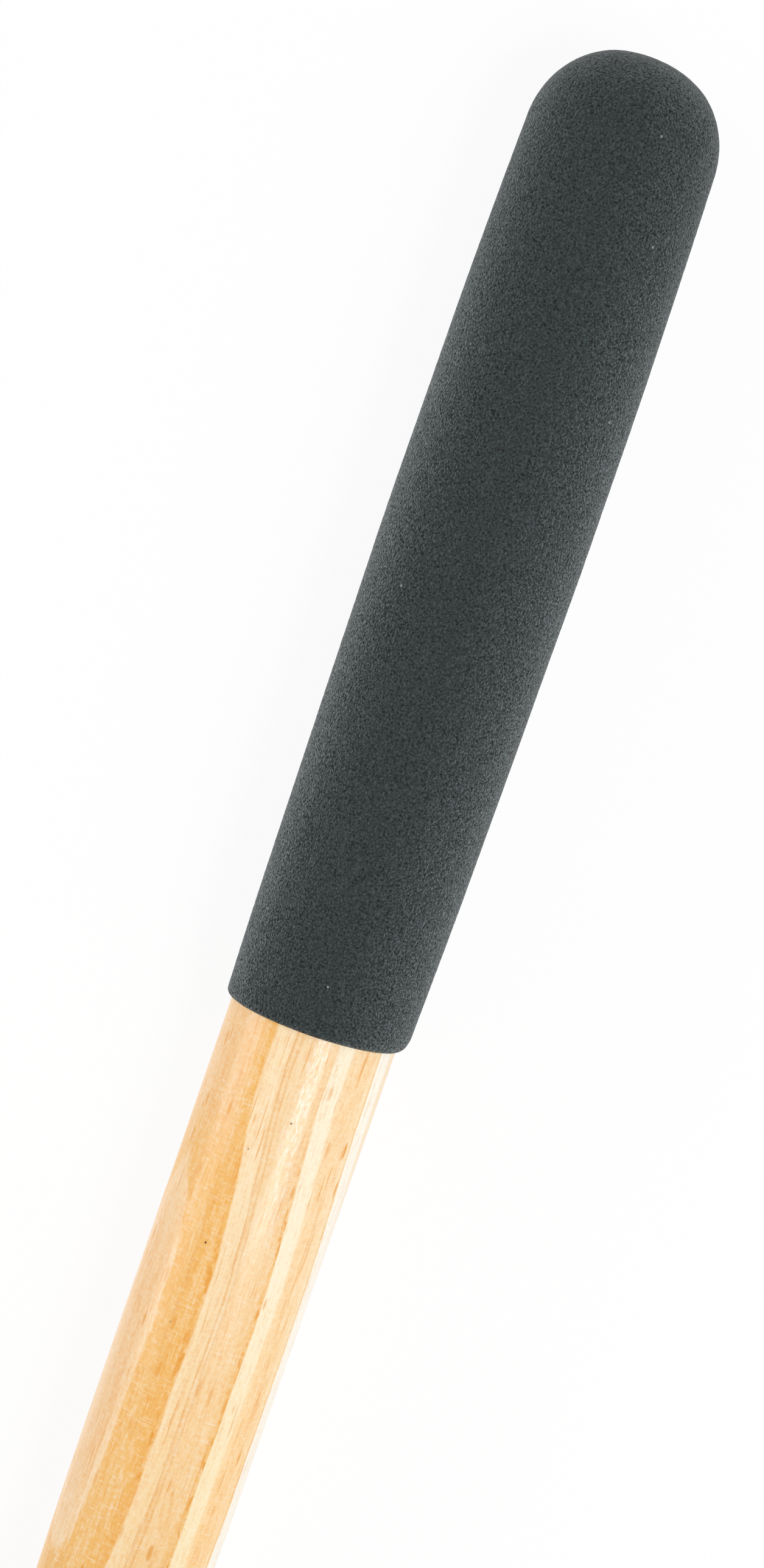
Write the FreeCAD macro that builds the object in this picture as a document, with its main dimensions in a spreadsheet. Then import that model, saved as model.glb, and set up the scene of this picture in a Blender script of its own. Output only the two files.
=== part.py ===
"""Snow brush with a scraper: a turned wooden handle with a closed-end foam grip at one end,
four staggered rows of bristle tufts, and a moulded scraper head screwed onto a tenon.

Frame, in millimetres: the handle runs along X with the grip at +X and the scraper at -X, the
bristles point up (+Z), and the scraping edge and the underside of the grip stand on Z = 0.
Every body is drawn about the handle's axis and is lifted by its Placement.
"""
import FreeCAD
import Part
import Sketcher
import os

# Driving dimensions: alias, value (mm or degrees), what it is.
SIZES = [
    ("overall_length", 635, "tip of the grip to the scraping edge"),
    ("grip_length", 174, "foam grip, rim to tip"),
    ("grip_rim_radius", 16.4, "grip at its open rim"),
    ("grip_belly_radius", 17.5, "grip at its thickest"),
    ("grip_belly_distance", 95, "open rim to the thickest place"),
    ("grip_dome_radius", 16.4, "rounded closed end"),
    ("grip_rim_round", 0.9, "rounding of the rim's outer edge"),
    ("grip_end_wall", 6, "foam in front of the handle's end"),
    ("grip_fit", 0.1, "room between foam and wood"),
    ("handle_radius", 15, "wood inside the grip"),
    ("handle_end_round", 8, "rounding of the handle's end"),
    ("brush_shaft_radius", 14.6, "wood that carries the tufts"),
    ("tenon_radius", 13, "wood inside the scraper's socket"),
    ("tenon_length", 32, "shoulder to the tenon's end"),
    ("tenon_chamfer", 1, "lead-in of the tenon"),
    ("tuft_count", 19, "tufts in a row"),
    ("tuft_pitch", 12, "tuft to tuft along a row"),
    ("brush_margin", 14, "last tuft to the shoulder"),
    ("inner_row_offset", 3.2, "inner rows from the middle, at the wood"),
    ("outer_row_offset", 8.6, "outer rows from the middle, at the wood"),
    ("inner_row_lean", 5, "inner rows from upright"),
    ("outer_row_lean", 16, "outer rows from upright"),
    ("hole_radius", 2.3, "tuft hole"),
    ("hole_depth", 12, "tuft hole below the wood's surface"),
    ("tuft_length", 60, "bristles above the wood"),
    ("tuft_tip_radius", 4.5, "spread of a tuft at its tips"),
    ("tuft_fit", 0.1, "room between tuft and hole"),
    ("anchor_width", 4.4, "flat wire across the hole"),
    ("anchor_height", 1.6, "flat wire along the hole"),
    ("anchor_thickness", 0.5, "flat wire"),
    ("anchor_lift", 1, "folded bristles under the anchor"),
    ("anchor_fit", 0.05, "room between anchor and bristles"),
    ("socket_radius", 16.5, "outside of the scraper's socket"),
    ("socket_length", 38, "mouth to the flare"),
    ("socket_bead_radius", 17.1, "bead round the mouth"),
    ("socket_bead_width", 3.2, "bead round the mouth"),
    ("tenon_fit", 0.1, "room round the tenon"),
    ("tenon_end_gap", 0.4, "room in front of the tenon"),
    ("flare_length", 26, "round socket to flat blade"),
    ("flare_middle_half_width", 18, "flare halfway, sideways"),
    ("flare_middle_half_height", 10, "flare halfway, up and down"),
    ("flare_middle_drop", 3.5, "flare halfway, below the handle's axis"),
    ("flare_end_half_width", 19, "flare where it meets the blade"),
    ("flare_end_half_height", 1.6, "flare where it meets the blade"),
    ("blade_length", 37, "end of the flare to the scraping edge"),
    ("blade_width", 100, "scraping edge"),
    ("blade_root_width", 30, "blade inside the flare"),
    ("blade_root_inset", 2, "blade's root to the flare's start"),
    ("blade_side_length", 13, "straight sides next to the edge"),
    ("blade_corner_radius", 4, "corners of the scraping edge"),
    ("blade_thickness", 3.6, "flat of the blade"),
    ("blade_slope", 10, "blade down from the handle's axis"),
    ("edge_thickness", 0.9, "scraping edge"),
    ("bevel_length", 7, "bevel behind the scraping edge"),
    ("ridge_count", 9, "ice chipping ridges"),
    ("ridge_pitch", 9, "ridge to ridge"),
    ("ridge_start", 8.5, "scraping edge to the ridges"),
    ("ridge_length", 9.5, "chipping ridge"),
    ("ridge_height", 1.8, "above the blade"),
    ("ridge_thickness", 2, "chipping ridge"),
    ("rib_count", 3, "stiffening ribs"),
    ("rib_pitch", 10, "rib to rib"),
    ("rib_start", 24, "scraping edge to the ribs"),
    ("rib_height", 16, "above the blade, at the socket"),
    ("rib_thickness", 2.4, "stiffening rib"),
    ("screw_length", 16, "head to point"),
    ("screw_head_radius", 4, "countersunk head"),
    ("screw_head_height", 2.3, "countersunk head"),
    ("screw_core_radius", 1.5, "bottom of the thread"),
    ("screw_thread_radius", 2.1, "crest of the thread"),
    ("screw_thread_pitch", 1.4, "crest to crest"),
    ("screw_point_length", 2.5, "tapered point"),
    ("screw_recess_depth", 1.4, "cross recess"),
    ("screw_recess_width", 1, "cross recess, across one arm"),
    ("screw_recess_span", 4.4, "cross recess, end to end"),
    ("screw_sink", 0.7, "head below the socket's outside"),
    ("screw_fit", 0.1, "room round the screw"),
    ("left_screw_place", 12, "shoulder to the left screw"),
    ("right_screw_place", 22, "shoulder to the right screw"),
]


def size(alias):
    """Reference to one cell of the sheet, for use inside an expression."""
    return "<<sizes>>." + alias


# Places along X, and the height of the handle's axis, as expressions over the sheet.
AXIS_HEIGHT = size("grip_belly_radius")
GRIP_TIP = f"{size('overall_length')} / 2"
GRIP_RIM = f"({GRIP_TIP} - {size('grip_length')})"
GRIP_BELLY = f"({GRIP_RIM} + {size('grip_belly_distance')})"
DOME_CENTRE = f"({GRIP_TIP} - {size('grip_dome_radius')})"
HANDLE_END = f"({GRIP_TIP} - {size('grip_end_wall')})"
EDGE = f"(-{size('overall_length')} / 2)"
FLARE_END = f"({EDGE} + {size('blade_length')})"
FLARE_START = f"({FLARE_END} + {size('flare_length')})"
SHOULDER = f"({FLARE_START} + {size('socket_length')})"
LAST_TUFT = f"({SHOULDER} + {size('brush_margin')})"
ROW_LENGTH = f"(({size('tuft_count')} - 0.5) * {size('tuft_pitch')})"
BRUSH_END = f"({LAST_TUFT} + {ROW_LENGTH})"

# The blade lies in a tilted plane whose origin is the lower corner of the scraping edge.
BLADE_X = f"({EDGE} + {size('edge_thickness')} * sin({size('blade_slope')}))"
BLADE_Z = f"(-{AXIS_HEIGHT})"
BLADE_RUN = f"({size('blade_length')} + {size('flare_length')} - {size('blade_root_inset')})"
BLADE_REACH = f"({BLADE_RUN} / cos({size('blade_slope')}))"
BLADE_MIDDLE_RISE = f"({size('blade_length')} * tan({size('blade_slope')}) + {size('blade_thickness')} / 2)"

# Rows from -Y to +Y: side, offset, lean, and the half pitch by which a row is shifted.
ROWS = [
    (-1, "outer_row_offset", "outer_row_lean", 0),
    (-1, "inner_row_offset", "inner_row_lean", 0.5),
    (1, "inner_row_offset", "inner_row_lean", 0),
    (1, "outer_row_offset", "outer_row_lean", 0.5),
]


def row_place(side, offset, lean, shift):
    """Bottom of the row's first hole, and its turn about X, as expressions."""
    surface = f"sqrt({size('brush_shaft_radius')} ^ 2 - {size(offset)} ^ 2)"
    x = f"{LAST_TUFT} + {shift} * {size('tuft_pitch')}"
    y = f"{side} * ({size(offset)} - {size('hole_depth')} * sin({size(lean)}))"
    z = f"{surface} - {size('hole_depth')} * cos({size(lean)})"
    turn = f"{-side} * {size(lean)}"
    return x, y, z, turn


def make_sheet(doc):
    """Spreadsheet with one aliased number in each row."""
    sheet = doc.addObject("Spreadsheet::Sheet", "sizes")
    for row, (alias, value, meaning) in enumerate(SIZES, start=1):
        sheet.set(f"A{row}", meaning)
        sheet.set(f"B{row}", str(value))
        sheet.setAlias(f"B{row}", alias)
    doc.recompute()
    return sheet


def make_body(doc, name, x="0", y="0", z="0", turn=None):
    """Body lifted to the handle's axis, with an optional turn about X."""
    body = doc.addObject("PartDesign::Body", name)
    body.Label = name
    body.setExpression("Placement.Base.x", x)
    body.setExpression("Placement.Base.y", y)
    body.setExpression("Placement.Base.z", f"{AXIS_HEIGHT} + {z}")
    if turn:
        body.Placement.Rotation = FreeCAD.Rotation(FreeCAD.Vector(1, 0, 0), 1)
        body.setExpression("Placement.Rotation.Angle", turn)
    return body


def origin_feature(body, role):
    return next(item for item in body.Origin.OriginFeatures if item.Role == role)


def attach(feature, body, role, x="0", y="0", z="0", axis=None, turn=None):
    """Attach a sketch to one of the body's origin planes, moved and turned in that plane's frame."""
    feature.AttachmentSupport = [(origin_feature(body, role), "")]
    feature.MapMode = "FlatFace"
    if turn:
        feature.AttachmentOffset = FreeCAD.Placement(FreeCAD.Vector(), FreeCAD.Rotation(axis, 1))
        feature.setExpression("AttachmentOffset.Rotation.Angle", turn)
    feature.setExpression("AttachmentOffset.Base.x", x)
    feature.setExpression("AttachmentOffset.Base.y", y)
    feature.setExpression("AttachmentOffset.Base.z", z)


def new_sketch(body, name, role, **place):
    sketch = body.newObject("Sketcher::SketchObject", name)
    attach(sketch, body, role, **place)
    return sketch


def fix_coordinate(sketch, kind, geometry, point, expression):
    """Dimension from the sketch's origin to a point, driven by an expression."""
    value = sketch.evalExpression(expression)
    index = sketch.addConstraint(Sketcher.Constraint(kind, -1, 1, geometry, point, float(value)))
    sketch.setExpression(f"Constraints[{index}]", expression)


def draw_outline(sketch, corners, centres=None):
    """Closed outline through corners, each a pair of expressions.

    Side 0 runs from corner 0 to corner 1. A side is straight unless centres gives, for its
    number, the axis ("x" or "y") and the expression that place the centre of its arc.
    """
    centres = centres or {}
    points = [FreeCAD.Vector(*[float(sketch.evalExpression(value)) for value in corner])
              for corner in corners]
    starts = []
    ends = []
    for side, start in enumerate(points):
        end = points[(side + 1) % len(points)]
        if side in centres:
            axis, expression = centres[side]
            middle = arc_middle(start, end, axis, float(sketch.evalExpression(expression)))
            forward = (middle - start).cross(end - middle).z > 0
            ordered = (start, middle, end) if forward else (end, middle, start)
            index = sketch.addGeometry(Part.Arc(*ordered), False)
            kind = "DistanceX" if axis == "x" else "DistanceY"
            fix_coordinate(sketch, kind, index, 3, expression)
        else:
            index = sketch.addGeometry(Part.LineSegment(start, end), False)
            forward = True
        starts.append((index, 1 if forward else 2))
        ends.append((index, 2 if forward else 1))
    for side, corner in enumerate(corners):
        sketch.addConstraint(Sketcher.Constraint("Coincident", *ends[side - 1], *starts[side]))
        fix_coordinate(sketch, "DistanceX", *starts[side], corner[0])
        fix_coordinate(sketch, "DistanceY", *starts[side], corner[1])


def arc_middle(start, end, axis, value):
    """Middle point of the shorter arc whose centre has the given x or y."""
    half = (start + end) * 0.5
    chord = end - start
    if axis == "x":
        centre = FreeCAD.Vector(value, half.y - chord.x * (value - half.x) / chord.y, 0)
    else:
        centre = FreeCAD.Vector(half.x - chord.y * (value - half.y) / chord.x, value, 0)
    return centre + (half - centre).normalize() * (start - centre).Length


def draw_circle(sketch, radius):
    """Circle about the sketch's origin."""
    value = float(sketch.evalExpression(radius))
    index = sketch.addGeometry(Part.Circle(FreeCAD.Vector(), FreeCAD.Vector(0, 0, 1), value), False)
    sketch.addConstraint(Sketcher.Constraint("Coincident", index, 3, -1, 1))
    constraint = sketch.addConstraint(Sketcher.Constraint("Radius", index, value))
    sketch.setExpression(f"Constraints[{constraint}]", radius)


def draw_oval(sketch, half_width, half_height):
    """Ellipse about the sketch's origin, wider than it is high."""
    wide = float(sketch.evalExpression(half_width))
    high = float(sketch.evalExpression(half_height))
    ellipse = Part.Ellipse(FreeCAD.Vector(wide, 0, 0), FreeCAD.Vector(0, high, 0), FreeCAD.Vector())
    index = sketch.addGeometry(ellipse, False)
    sketch.exposeInternalGeometry(index)
    major = index + 1
    minor = index + 2
    sketch.addConstraint(Sketcher.Constraint("Coincident", index, 3, -1, 1))
    sketch.addConstraint(Sketcher.Constraint("Horizontal", major))
    for line, value, expression in ((major, wide, half_width), (minor, high, half_height)):
        constraint = sketch.addConstraint(Sketcher.Constraint("Distance", line, 2 * value))
        sketch.setExpression(f"Constraints[{constraint}]", f"2 * {expression}")


def revolve(body, kind, name, sketch, axis):
    """Full Revolution or Groove of a sketch about its own H_Axis or V_Axis."""
    feature = body.newObject("PartDesign::" + kind, name)
    feature.Profile = sketch
    feature.ReferenceAxis = (sketch, [axis])
    feature.Angle = 360
    return feature


def pad(body, name, sketch, length, midplane=False, reverse=False):
    feature = body.newObject("PartDesign::Pad", name)
    feature.Profile = sketch
    feature.Midplane = midplane
    feature.Reversed = reverse
    feature.setExpression("Length", length)
    return feature


def pocket(body, name, sketch, length, midplane=False, reverse=False):
    feature = body.newObject("PartDesign::Pocket", name)
    feature.Profile = sketch
    feature.Midplane = midplane
    feature.Reversed = reverse
    feature.setExpression("Length", length)
    return feature


def repeat(body, name, features, role, count, pitch, reverse=False):
    """Linear pattern along one of the body's axes; it becomes the body's tip."""
    pattern = body.newObject("PartDesign::LinearPattern", name)
    pattern.Originals = features
    pattern.Direction = (origin_feature(body, role), [""])
    pattern.Reversed = reverse
    pattern.Mode = "Spacing"
    pattern.setExpression("Offset", pitch)
    pattern.setExpression("Occurrences", count)
    body.Tip = pattern
    return pattern


def screw_place(place):
    """Where a scraper screw crosses the handle's axis."""
    return f"({SHOULDER} - {size(place)})"


SCREW_TOP = f"({size('socket_radius')} - {size('screw_sink')})"
SCREW_HOLE = f"({size('screw_thread_radius')} + {size('screw_fit')})"
SCREW_TURN = {"left": "-90", "right": "90"}


def cut_screw_hole(body, side, place, corners):
    """Groove about a line across the handle, which points to +Y on the left and -Y on the right."""
    half_turn = "0" if side == "left" else "180"
    profile = new_sketch(body, f"screw_hole_profile_{side}", "XY_Plane", x=screw_place(place),
                         axis=FreeCAD.Vector(1, 0, 0), turn=half_turn)
    draw_outline(profile, corners)
    return revolve(body, "Groove", f"screw_hole_{side}", profile, "V_Axis")


def make_wooden_handle(doc):
    """Turned handle: rounded end in the grip, taper, brush stretch with its holes, and tenon."""
    body = make_body(doc, "wooden_handle")
    tenon_end = f"({SHOULDER} - {size('tenon_length')})"
    round_start = f"({HANDLE_END} - {size('handle_end_round')})"
    corners = [
        (tenon_end, "0"),
        (tenon_end, f"{size('tenon_radius')} - {size('tenon_chamfer')}"),
        (f"{tenon_end} + {size('tenon_chamfer')}", size("tenon_radius")),
        (SHOULDER, size("tenon_radius")),
        (SHOULDER, size("brush_shaft_radius")),
        (BRUSH_END, size("brush_shaft_radius")),
        (GRIP_RIM, size("handle_radius")),
        (round_start, size("handle_radius")),
        (HANDLE_END, f"{size('handle_radius')} - {size('handle_end_round')}"),
        (HANDLE_END, "0"),
    ]
    profile = new_sketch(body, "handle_profile", "XZ_Plane")
    draw_outline(profile, corners, {7: ("x", round_start)})
    revolve(body, "Revolution", "turned_handle", profile, "H_Axis")
    for number, row in enumerate(ROWS, start=1):
        x, y, z, turn = row_place(*row)
        hole = body.newObject("PartDesign::SubtractiveCylinder", f"tuft_hole_{number}")
        attach(hole, body, "XY_Plane", x, y, z, FreeCAD.Vector(1, 0, 0), turn)
        hole.setExpression("Radius", size("hole_radius"))
        hole.setExpression("Height", f"{size('hole_depth')} + 2 * {size('hole_radius')}")
        repeat(body, f"tuft_holes_{number}", [hole], "X_Axis", size("tuft_count"), size("tuft_pitch"))
    bottom = f"{SCREW_TOP} - {size('screw_length')} - {size('screw_fit')}"
    outside = f"{size('tenon_radius')} + {size('tenon_chamfer')}"
    pilot = [("0", bottom), (SCREW_HOLE, bottom), (SCREW_HOLE, outside), ("0", outside)]
    cut_screw_hole(body, "left", "left_screw_place", pilot)
    cut_screw_hole(body, "right", "right_screw_place", pilot)
    return body


def make_foam_grip(doc):
    """Closed-end foam sleeve: rolled rim, barrel in two arcs, domed tip, and a blind bore."""
    body = make_body(doc, "foam_grip")
    bore = f"({size('handle_radius')} + {size('grip_fit')})"
    bore_end = f"({HANDLE_END} + {size('grip_fit')})"
    bore_round_start = f"({HANDLE_END} - {size('handle_end_round')})"
    rim_round_end = f"({GRIP_RIM} + {size('grip_rim_round')})"
    corners = [
        (GRIP_RIM, bore),
        (GRIP_RIM, f"{size('grip_rim_radius')} - {size('grip_rim_round')}"),
        (rim_round_end, size("grip_rim_radius")),
        (GRIP_BELLY, size("grip_belly_radius")),
        (DOME_CENTRE, size("grip_dome_radius")),
        (GRIP_TIP, "0"),
        (bore_end, "0"),
        (bore_end, f"{size('handle_radius')} - {size('handle_end_round')}"),
        (bore_round_start, bore),
    ]
    centres = {
        1: ("x", rim_round_end),
        2: ("x", GRIP_BELLY),
        3: ("x", GRIP_BELLY),
        4: ("x", DOME_CENTRE),
        7: ("x", bore_round_start),
    }
    profile = new_sketch(body, "grip_profile", "XZ_Plane")
    draw_outline(profile, corners, centres)
    revolve(body, "Revolution", "moulded_grip", profile, "H_Axis")
    return body


def make_blade(body):
    """Fishtail plate with rounded corners and a bevelled edge, tilted down to the scraping edge."""
    half_width = f"({size('blade_width')} / 2)"
    root = f"({size('blade_root_width')} / 2)"
    corner = size("blade_corner_radius")
    side = size("blade_side_length")
    outline = [
        ("0", f"{corner} - {half_width}"),
        ("0", f"{half_width} - {corner}"),
        (corner, half_width),
        (side, half_width),
        (BLADE_REACH, root),
        (BLADE_REACH, f"-{root}"),
        (side, f"-{half_width}"),
        (corner, f"-{half_width}"),
    ]
    centres = {1: ("x", corner), 3: ("x", BLADE_REACH), 5: ("x", BLADE_REACH), 7: ("x", corner)}
    plan = new_sketch(body, "blade_outline", "XY_Plane", x=BLADE_X, z=BLADE_Z,
                      axis=FreeCAD.Vector(0, 1, 0), turn=f"-{size('blade_slope')}")
    draw_outline(plan, outline, centres)
    pad(body, "blade", plan, size("blade_thickness"))

    above = f"{size('blade_thickness')} + {size('edge_thickness')}"
    before = f"-{size('edge_thickness')}"
    bevel = [
        ("0", size("edge_thickness")),
        (size("bevel_length"), size("blade_thickness")),
        (size("bevel_length"), above),
        (before, above),
        (before, size("edge_thickness")),
    ]
    side_view = blade_side_sketch(body, "bevel_profile")
    draw_outline(side_view, bevel)
    pocket(body, "scraping_bevel", side_view, f"{size('blade_width')} + {corner}", midplane=True)


def blade_side_sketch(body, name, offset="0"):
    """Sketch in a plane along the handle, measured from the edge along and above the blade."""
    return new_sketch(body, name, "XZ_Plane", x=BLADE_X, y=BLADE_Z, z=offset,
                      axis=FreeCAD.Vector(0, 0, 1), turn=size("blade_slope"))


def make_upstands(body, name, corners, thickness, count, pitch):
    """Row of equal upright plates across the blade, from +Y to -Y."""
    sketch = blade_side_sketch(body, f"{name}_profile", f"-({size(count)} - 1) / 2 * {size(pitch)}")
    draw_outline(sketch, corners)
    plate = pad(body, name, sketch, size(thickness), midplane=True)
    repeat(body, f"{name}s", [plate], "Y_Axis", size(count), size(pitch), reverse=True)


def make_flare(body):
    """Loft from the round socket to a flat oval inside the blade."""
    sections = []
    places = [
        ("flare_start", "0", FLARE_START),
        ("flare_middle", f"-{size('flare_middle_drop')}", f"{FLARE_END} + {size('flare_length')} / 2"),
        ("flare_end", f"{BLADE_Z} + {BLADE_MIDDLE_RISE}", FLARE_END),
    ]
    for name, height, place in places:
        sections.append(new_sketch(body, name, "YZ_Plane", y=height, z=place))
    draw_circle(sections[0], size("socket_radius"))
    draw_oval(sections[1], size("flare_middle_half_width"), size("flare_middle_half_height"))
    draw_oval(sections[2], size("flare_end_half_width"), size("flare_end_half_height"))
    loft = body.newObject("PartDesign::AdditiveLoft", "flare")
    loft.Profile = sections[0]
    loft.Sections = sections[1:]


def make_scraper_head(doc):
    """Moulded scraper: blade, chipping ridges, ribs, flare, and a blind socket for the tenon."""
    body = make_body(doc, "scraper_head")
    make_blade(body)
    half_blade = f"{size('blade_thickness')} / 2"
    ridge_top = f"{size('blade_thickness')} + {size('ridge_height')}"
    ridge_end = f"{size('ridge_start')} + {size('ridge_length')}"
    ridge = [
        (size("ridge_start"), half_blade),
        (f"{size('ridge_start')} + {size('ridge_height')}", ridge_top),
        (f"{ridge_end} - {size('ridge_height')}", ridge_top),
        (ridge_end, half_blade),
    ]
    make_upstands(body, "chipping_ridge", ridge, "ridge_thickness", "ridge_count", "ridge_pitch")
    make_flare(body)
    rib = [
        (size("rib_start"), half_blade),
        (size("rib_start"), size("blade_thickness")),
        (BLADE_REACH, f"{size('blade_thickness')} + {size('rib_height')}"),
        (BLADE_REACH, half_blade),
    ]
    make_upstands(body, "stiffening_rib", rib, "rib_thickness", "rib_count", "rib_pitch")

    bore = f"({size('tenon_radius')} + {size('tenon_fit')})"
    bore_end = f"({SHOULDER} - {size('tenon_length')} - {size('tenon_end_gap')})"
    bead_rise = f"({size('socket_bead_radius')} - {size('socket_radius')})"
    bead_end = f"({SHOULDER} - {size('socket_bead_width')})"
    socket = [
        (bore_end, "0"),
        (bore_end, bore),
        (SHOULDER, bore),
        (SHOULDER, size("socket_radius")),
        (f"{SHOULDER} - {bead_rise}", size("socket_bead_radius")),
        (f"{bead_end} + {bead_rise}", size("socket_bead_radius")),
        (bead_end, size("socket_radius")),
        (FLARE_START, size("socket_radius")),
        (FLARE_START, "0"),
    ]
    profile = new_sketch(body, "socket_profile", "XZ_Plane")
    draw_outline(profile, socket)
    body.Tip = revolve(body, "Revolution", "socket", profile, "H_Axis")

    head_hole = f"{size('screw_head_radius')} + {size('screw_fit')}"
    inside = f"{size('tenon_radius')} - {size('tenon_chamfer')}"
    outside = f"{size('socket_radius')} + {size('screw_sink')}"
    countersunk = [
        ("0", inside),
        (SCREW_HOLE, inside),
        (SCREW_HOLE, f"{SCREW_TOP} - {size('screw_head_height')}"),
        (head_hole, SCREW_TOP),
        (head_hole, outside),
        ("0", outside),
    ]
    cut_screw_hole(body, "left", "left_screw_place", countersunk)
    cut_screw_hole(body, "right", "right_screw_place", countersunk)
    return body


def make_screw(doc, side, place):
    """Countersunk self-tapping screw with a cross recess, driven towards the handle's axis."""
    outward = "1" if side == "left" else "-1"
    body = make_body(doc, f"scraper_screw_{side}", x=screw_place(place),
                     y=f"{outward} * {SCREW_TOP}", turn=SCREW_TURN[side])
    core = size("screw_core_radius")
    crest = size("screw_thread_radius")
    neck = f"({size('screw_head_height')} + {crest} - {core})"
    point_start = f"({size('screw_length')} - {size('screw_point_length')})"
    corners = [
        ("0", "0"),
        (size("screw_head_radius"), "0"),
        (crest, f"-{size('screw_head_height')}"),
        (core, f"-{neck}"),
        (core, f"-{point_start}"),
        ("0", f"-{size('screw_length')}"),
    ]
    profile = new_sketch(body, "screw_profile", "XZ_Plane")
    draw_outline(profile, corners)
    revolve(body, "Revolution", "screw_blank", profile, "V_Axis")

    half_crest = f"({crest} - {core}) / 2"
    middle = f"({neck} + {size('screw_thread_pitch')} / 2)"
    thread = [
        (f"{core} / 2", f"{half_crest} - {middle}"),
        (crest, f"-{middle}"),
        (f"{core} / 2", f"-{half_crest} - {middle}"),
    ]
    thread_sketch = new_sketch(body, "thread_profile", "XZ_Plane")
    draw_outline(thread_sketch, thread)
    ridge = revolve(body, "Revolution", "thread_ridge", thread_sketch, "V_Axis")
    turns = f"floor(({point_start} - {neck}) / {size('screw_thread_pitch')})"
    repeat(body, "thread", [ridge], "Z_Axis", turns, size("screw_thread_pitch"), reverse=True)

    arm = f"{size('screw_recess_width')} / 2"
    reach = f"{size('screw_recess_span')} / 2"
    quarter = [(reach, arm), (arm, arm), (arm, reach)]
    cross = []
    for signs in ((1, 1), (-1, 1), (-1, -1), (1, -1)):
        turned = quarter if signs[0] == signs[1] else quarter[::-1]
        cross += [(f"{signs[0]} * {x}", f"{signs[1]} * {y}") for x, y in turned]
    recess = new_sketch(body, "recess_outline", "XY_Plane")
    draw_outline(recess, cross)
    body.Tip = pocket(body, "cross_recess", recess, size("screw_recess_depth"))
    return body


def make_row_body(doc, name, row):
    """Body for one row of separate solids, its origin at the bottom of the row's first hole."""
    x, y, z, turn = row_place(*row)
    body = make_body(doc, name, x, y, z, turn)
    body.AllowCompound = True
    return body


def rectangle(half_width, low, high):
    return [(f"-{half_width}", low), (half_width, low), (half_width, high), (f"-{half_width}", high)]


def make_bristle_row(doc, number, row):
    """Tufts that fill their holes, stand up from the wood and spread to their tips."""
    body = make_row_body(doc, f"bristle_row_{number}", row)
    root = f"({size('hole_radius')} - {size('tuft_fit')})"
    top = f"{size('hole_depth')} + {size('tuft_length')}"
    corners = [
        ("0", "0"),
        (root, "0"),
        (root, size("hole_depth")),
        (size("tuft_tip_radius"), top),
        ("0", top),
    ]
    profile = new_sketch(body, "tuft_profile", "XZ_Plane")
    draw_outline(profile, corners, {2: ("y", size("hole_depth"))})
    tuft = revolve(body, "Revolution", "tuft", profile, "V_Axis")
    low = f"{size('anchor_lift')} - {size('anchor_fit')}"
    high = f"{size('anchor_lift')} + {size('anchor_height')} + {size('anchor_fit')}"
    window = new_sketch(body, "anchor_window_outline", "XZ_Plane")
    draw_outline(window, rectangle(size("hole_radius"), low, high))
    thickness = f"{size('anchor_thickness')} + 2 * {size('anchor_fit')}"
    slot = pocket(body, "anchor_window", window, thickness, midplane=True)
    repeat(body, "tufts", [tuft, slot], "X_Axis", size("tuft_count"), size("tuft_pitch"))
    return body


def make_anchor_row(doc, number, row):
    """Flat wires that hold the folded bristles at the bottom of the holes."""
    body = make_row_body(doc, f"anchor_row_{number}", row)
    half_width = f"({size('anchor_width')} / 2)"
    outline = new_sketch(body, "anchor_outline", "XZ_Plane")
    top = f"{size('anchor_lift')} + {size('anchor_height')}"
    draw_outline(outline, rectangle(half_width, size("anchor_lift"), top))
    anchor = pad(body, "anchor", outline, size("anchor_thickness"), midplane=True)
    repeat(body, "anchors", [anchor], "X_Axis", size("tuft_count"), size("tuft_pitch"))
    return body


def check_document(doc, bodies):
    """Stop on a failed feature, on a body that is not a valid solid, or on a cut that cuts nothing."""
    for item in doc.Objects:
        if "Invalid" in item.State or "Error" in item.State:
            raise RuntimeError(f"{item.Name} did not build: {item.State}")
        if item.TypeId in ("PartDesign::Pocket", "PartDesign::Groove", "PartDesign::SubtractiveCylinder"):
            removed = item.BaseFeature.Shape.Volume - item.Shape.Volume
            if removed < 0.01:
                raise RuntimeError(f"{item.Name} cuts nothing")
    for body in bodies:
        if body.Shape.isNull() or not body.Shape.isValid() or not body.Shape.Solids:
            raise RuntimeError(f"{body.Label} has no valid solid")


def main():
    doc = FreeCAD.newDocument("snow_brush_scraper")
    make_sheet(doc)
    bodies = [make_wooden_handle(doc), make_foam_grip(doc), make_scraper_head(doc)]
    bodies.append(make_screw(doc, "left", "left_screw_place"))
    bodies.append(make_screw(doc, "right", "right_screw_place"))
    for number, row in enumerate(ROWS, start=1):
        bodies.append(make_bristle_row(doc, number, row))
        bodies.append(make_anchor_row(doc, number, row))
    doc.recompute()
    check_document(doc, bodies)
    os.makedirs("parts", exist_ok=True)
    for body in bodies:
        body.Shape.exportStep(os.path.join("parts", body.Label + ".step"))
        box = body.Shape.BoundBox
        print(f"{body.Label}: {len(body.Shape.Solids)} solids, {body.Shape.Volume:.1f} mm3, "
              f"x {box.XMin:.2f}..{box.XMax:.2f} y {box.YMin:.2f}..{box.YMax:.2f} "
              f"z {box.ZMin:.2f}..{box.ZMax:.2f}")


main()
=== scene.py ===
"""Snow brush scraper: lacquered pine, foam, bristles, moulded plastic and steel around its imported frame.

The handle lies along X above the floor. Its scraping edge is at the low end, its foam grip at the high end,
and the bristles stand up along +Z. Lengths are in metres.
"""

import math
import random

import bmesh
import bpy
from bpy.props import FloatProperty, FloatVectorProperty, IntProperty, PointerProperty
from bpy.types import Operator, Panel, PropertyGroup
from mathutils import Matrix, Vector, noise


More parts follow.
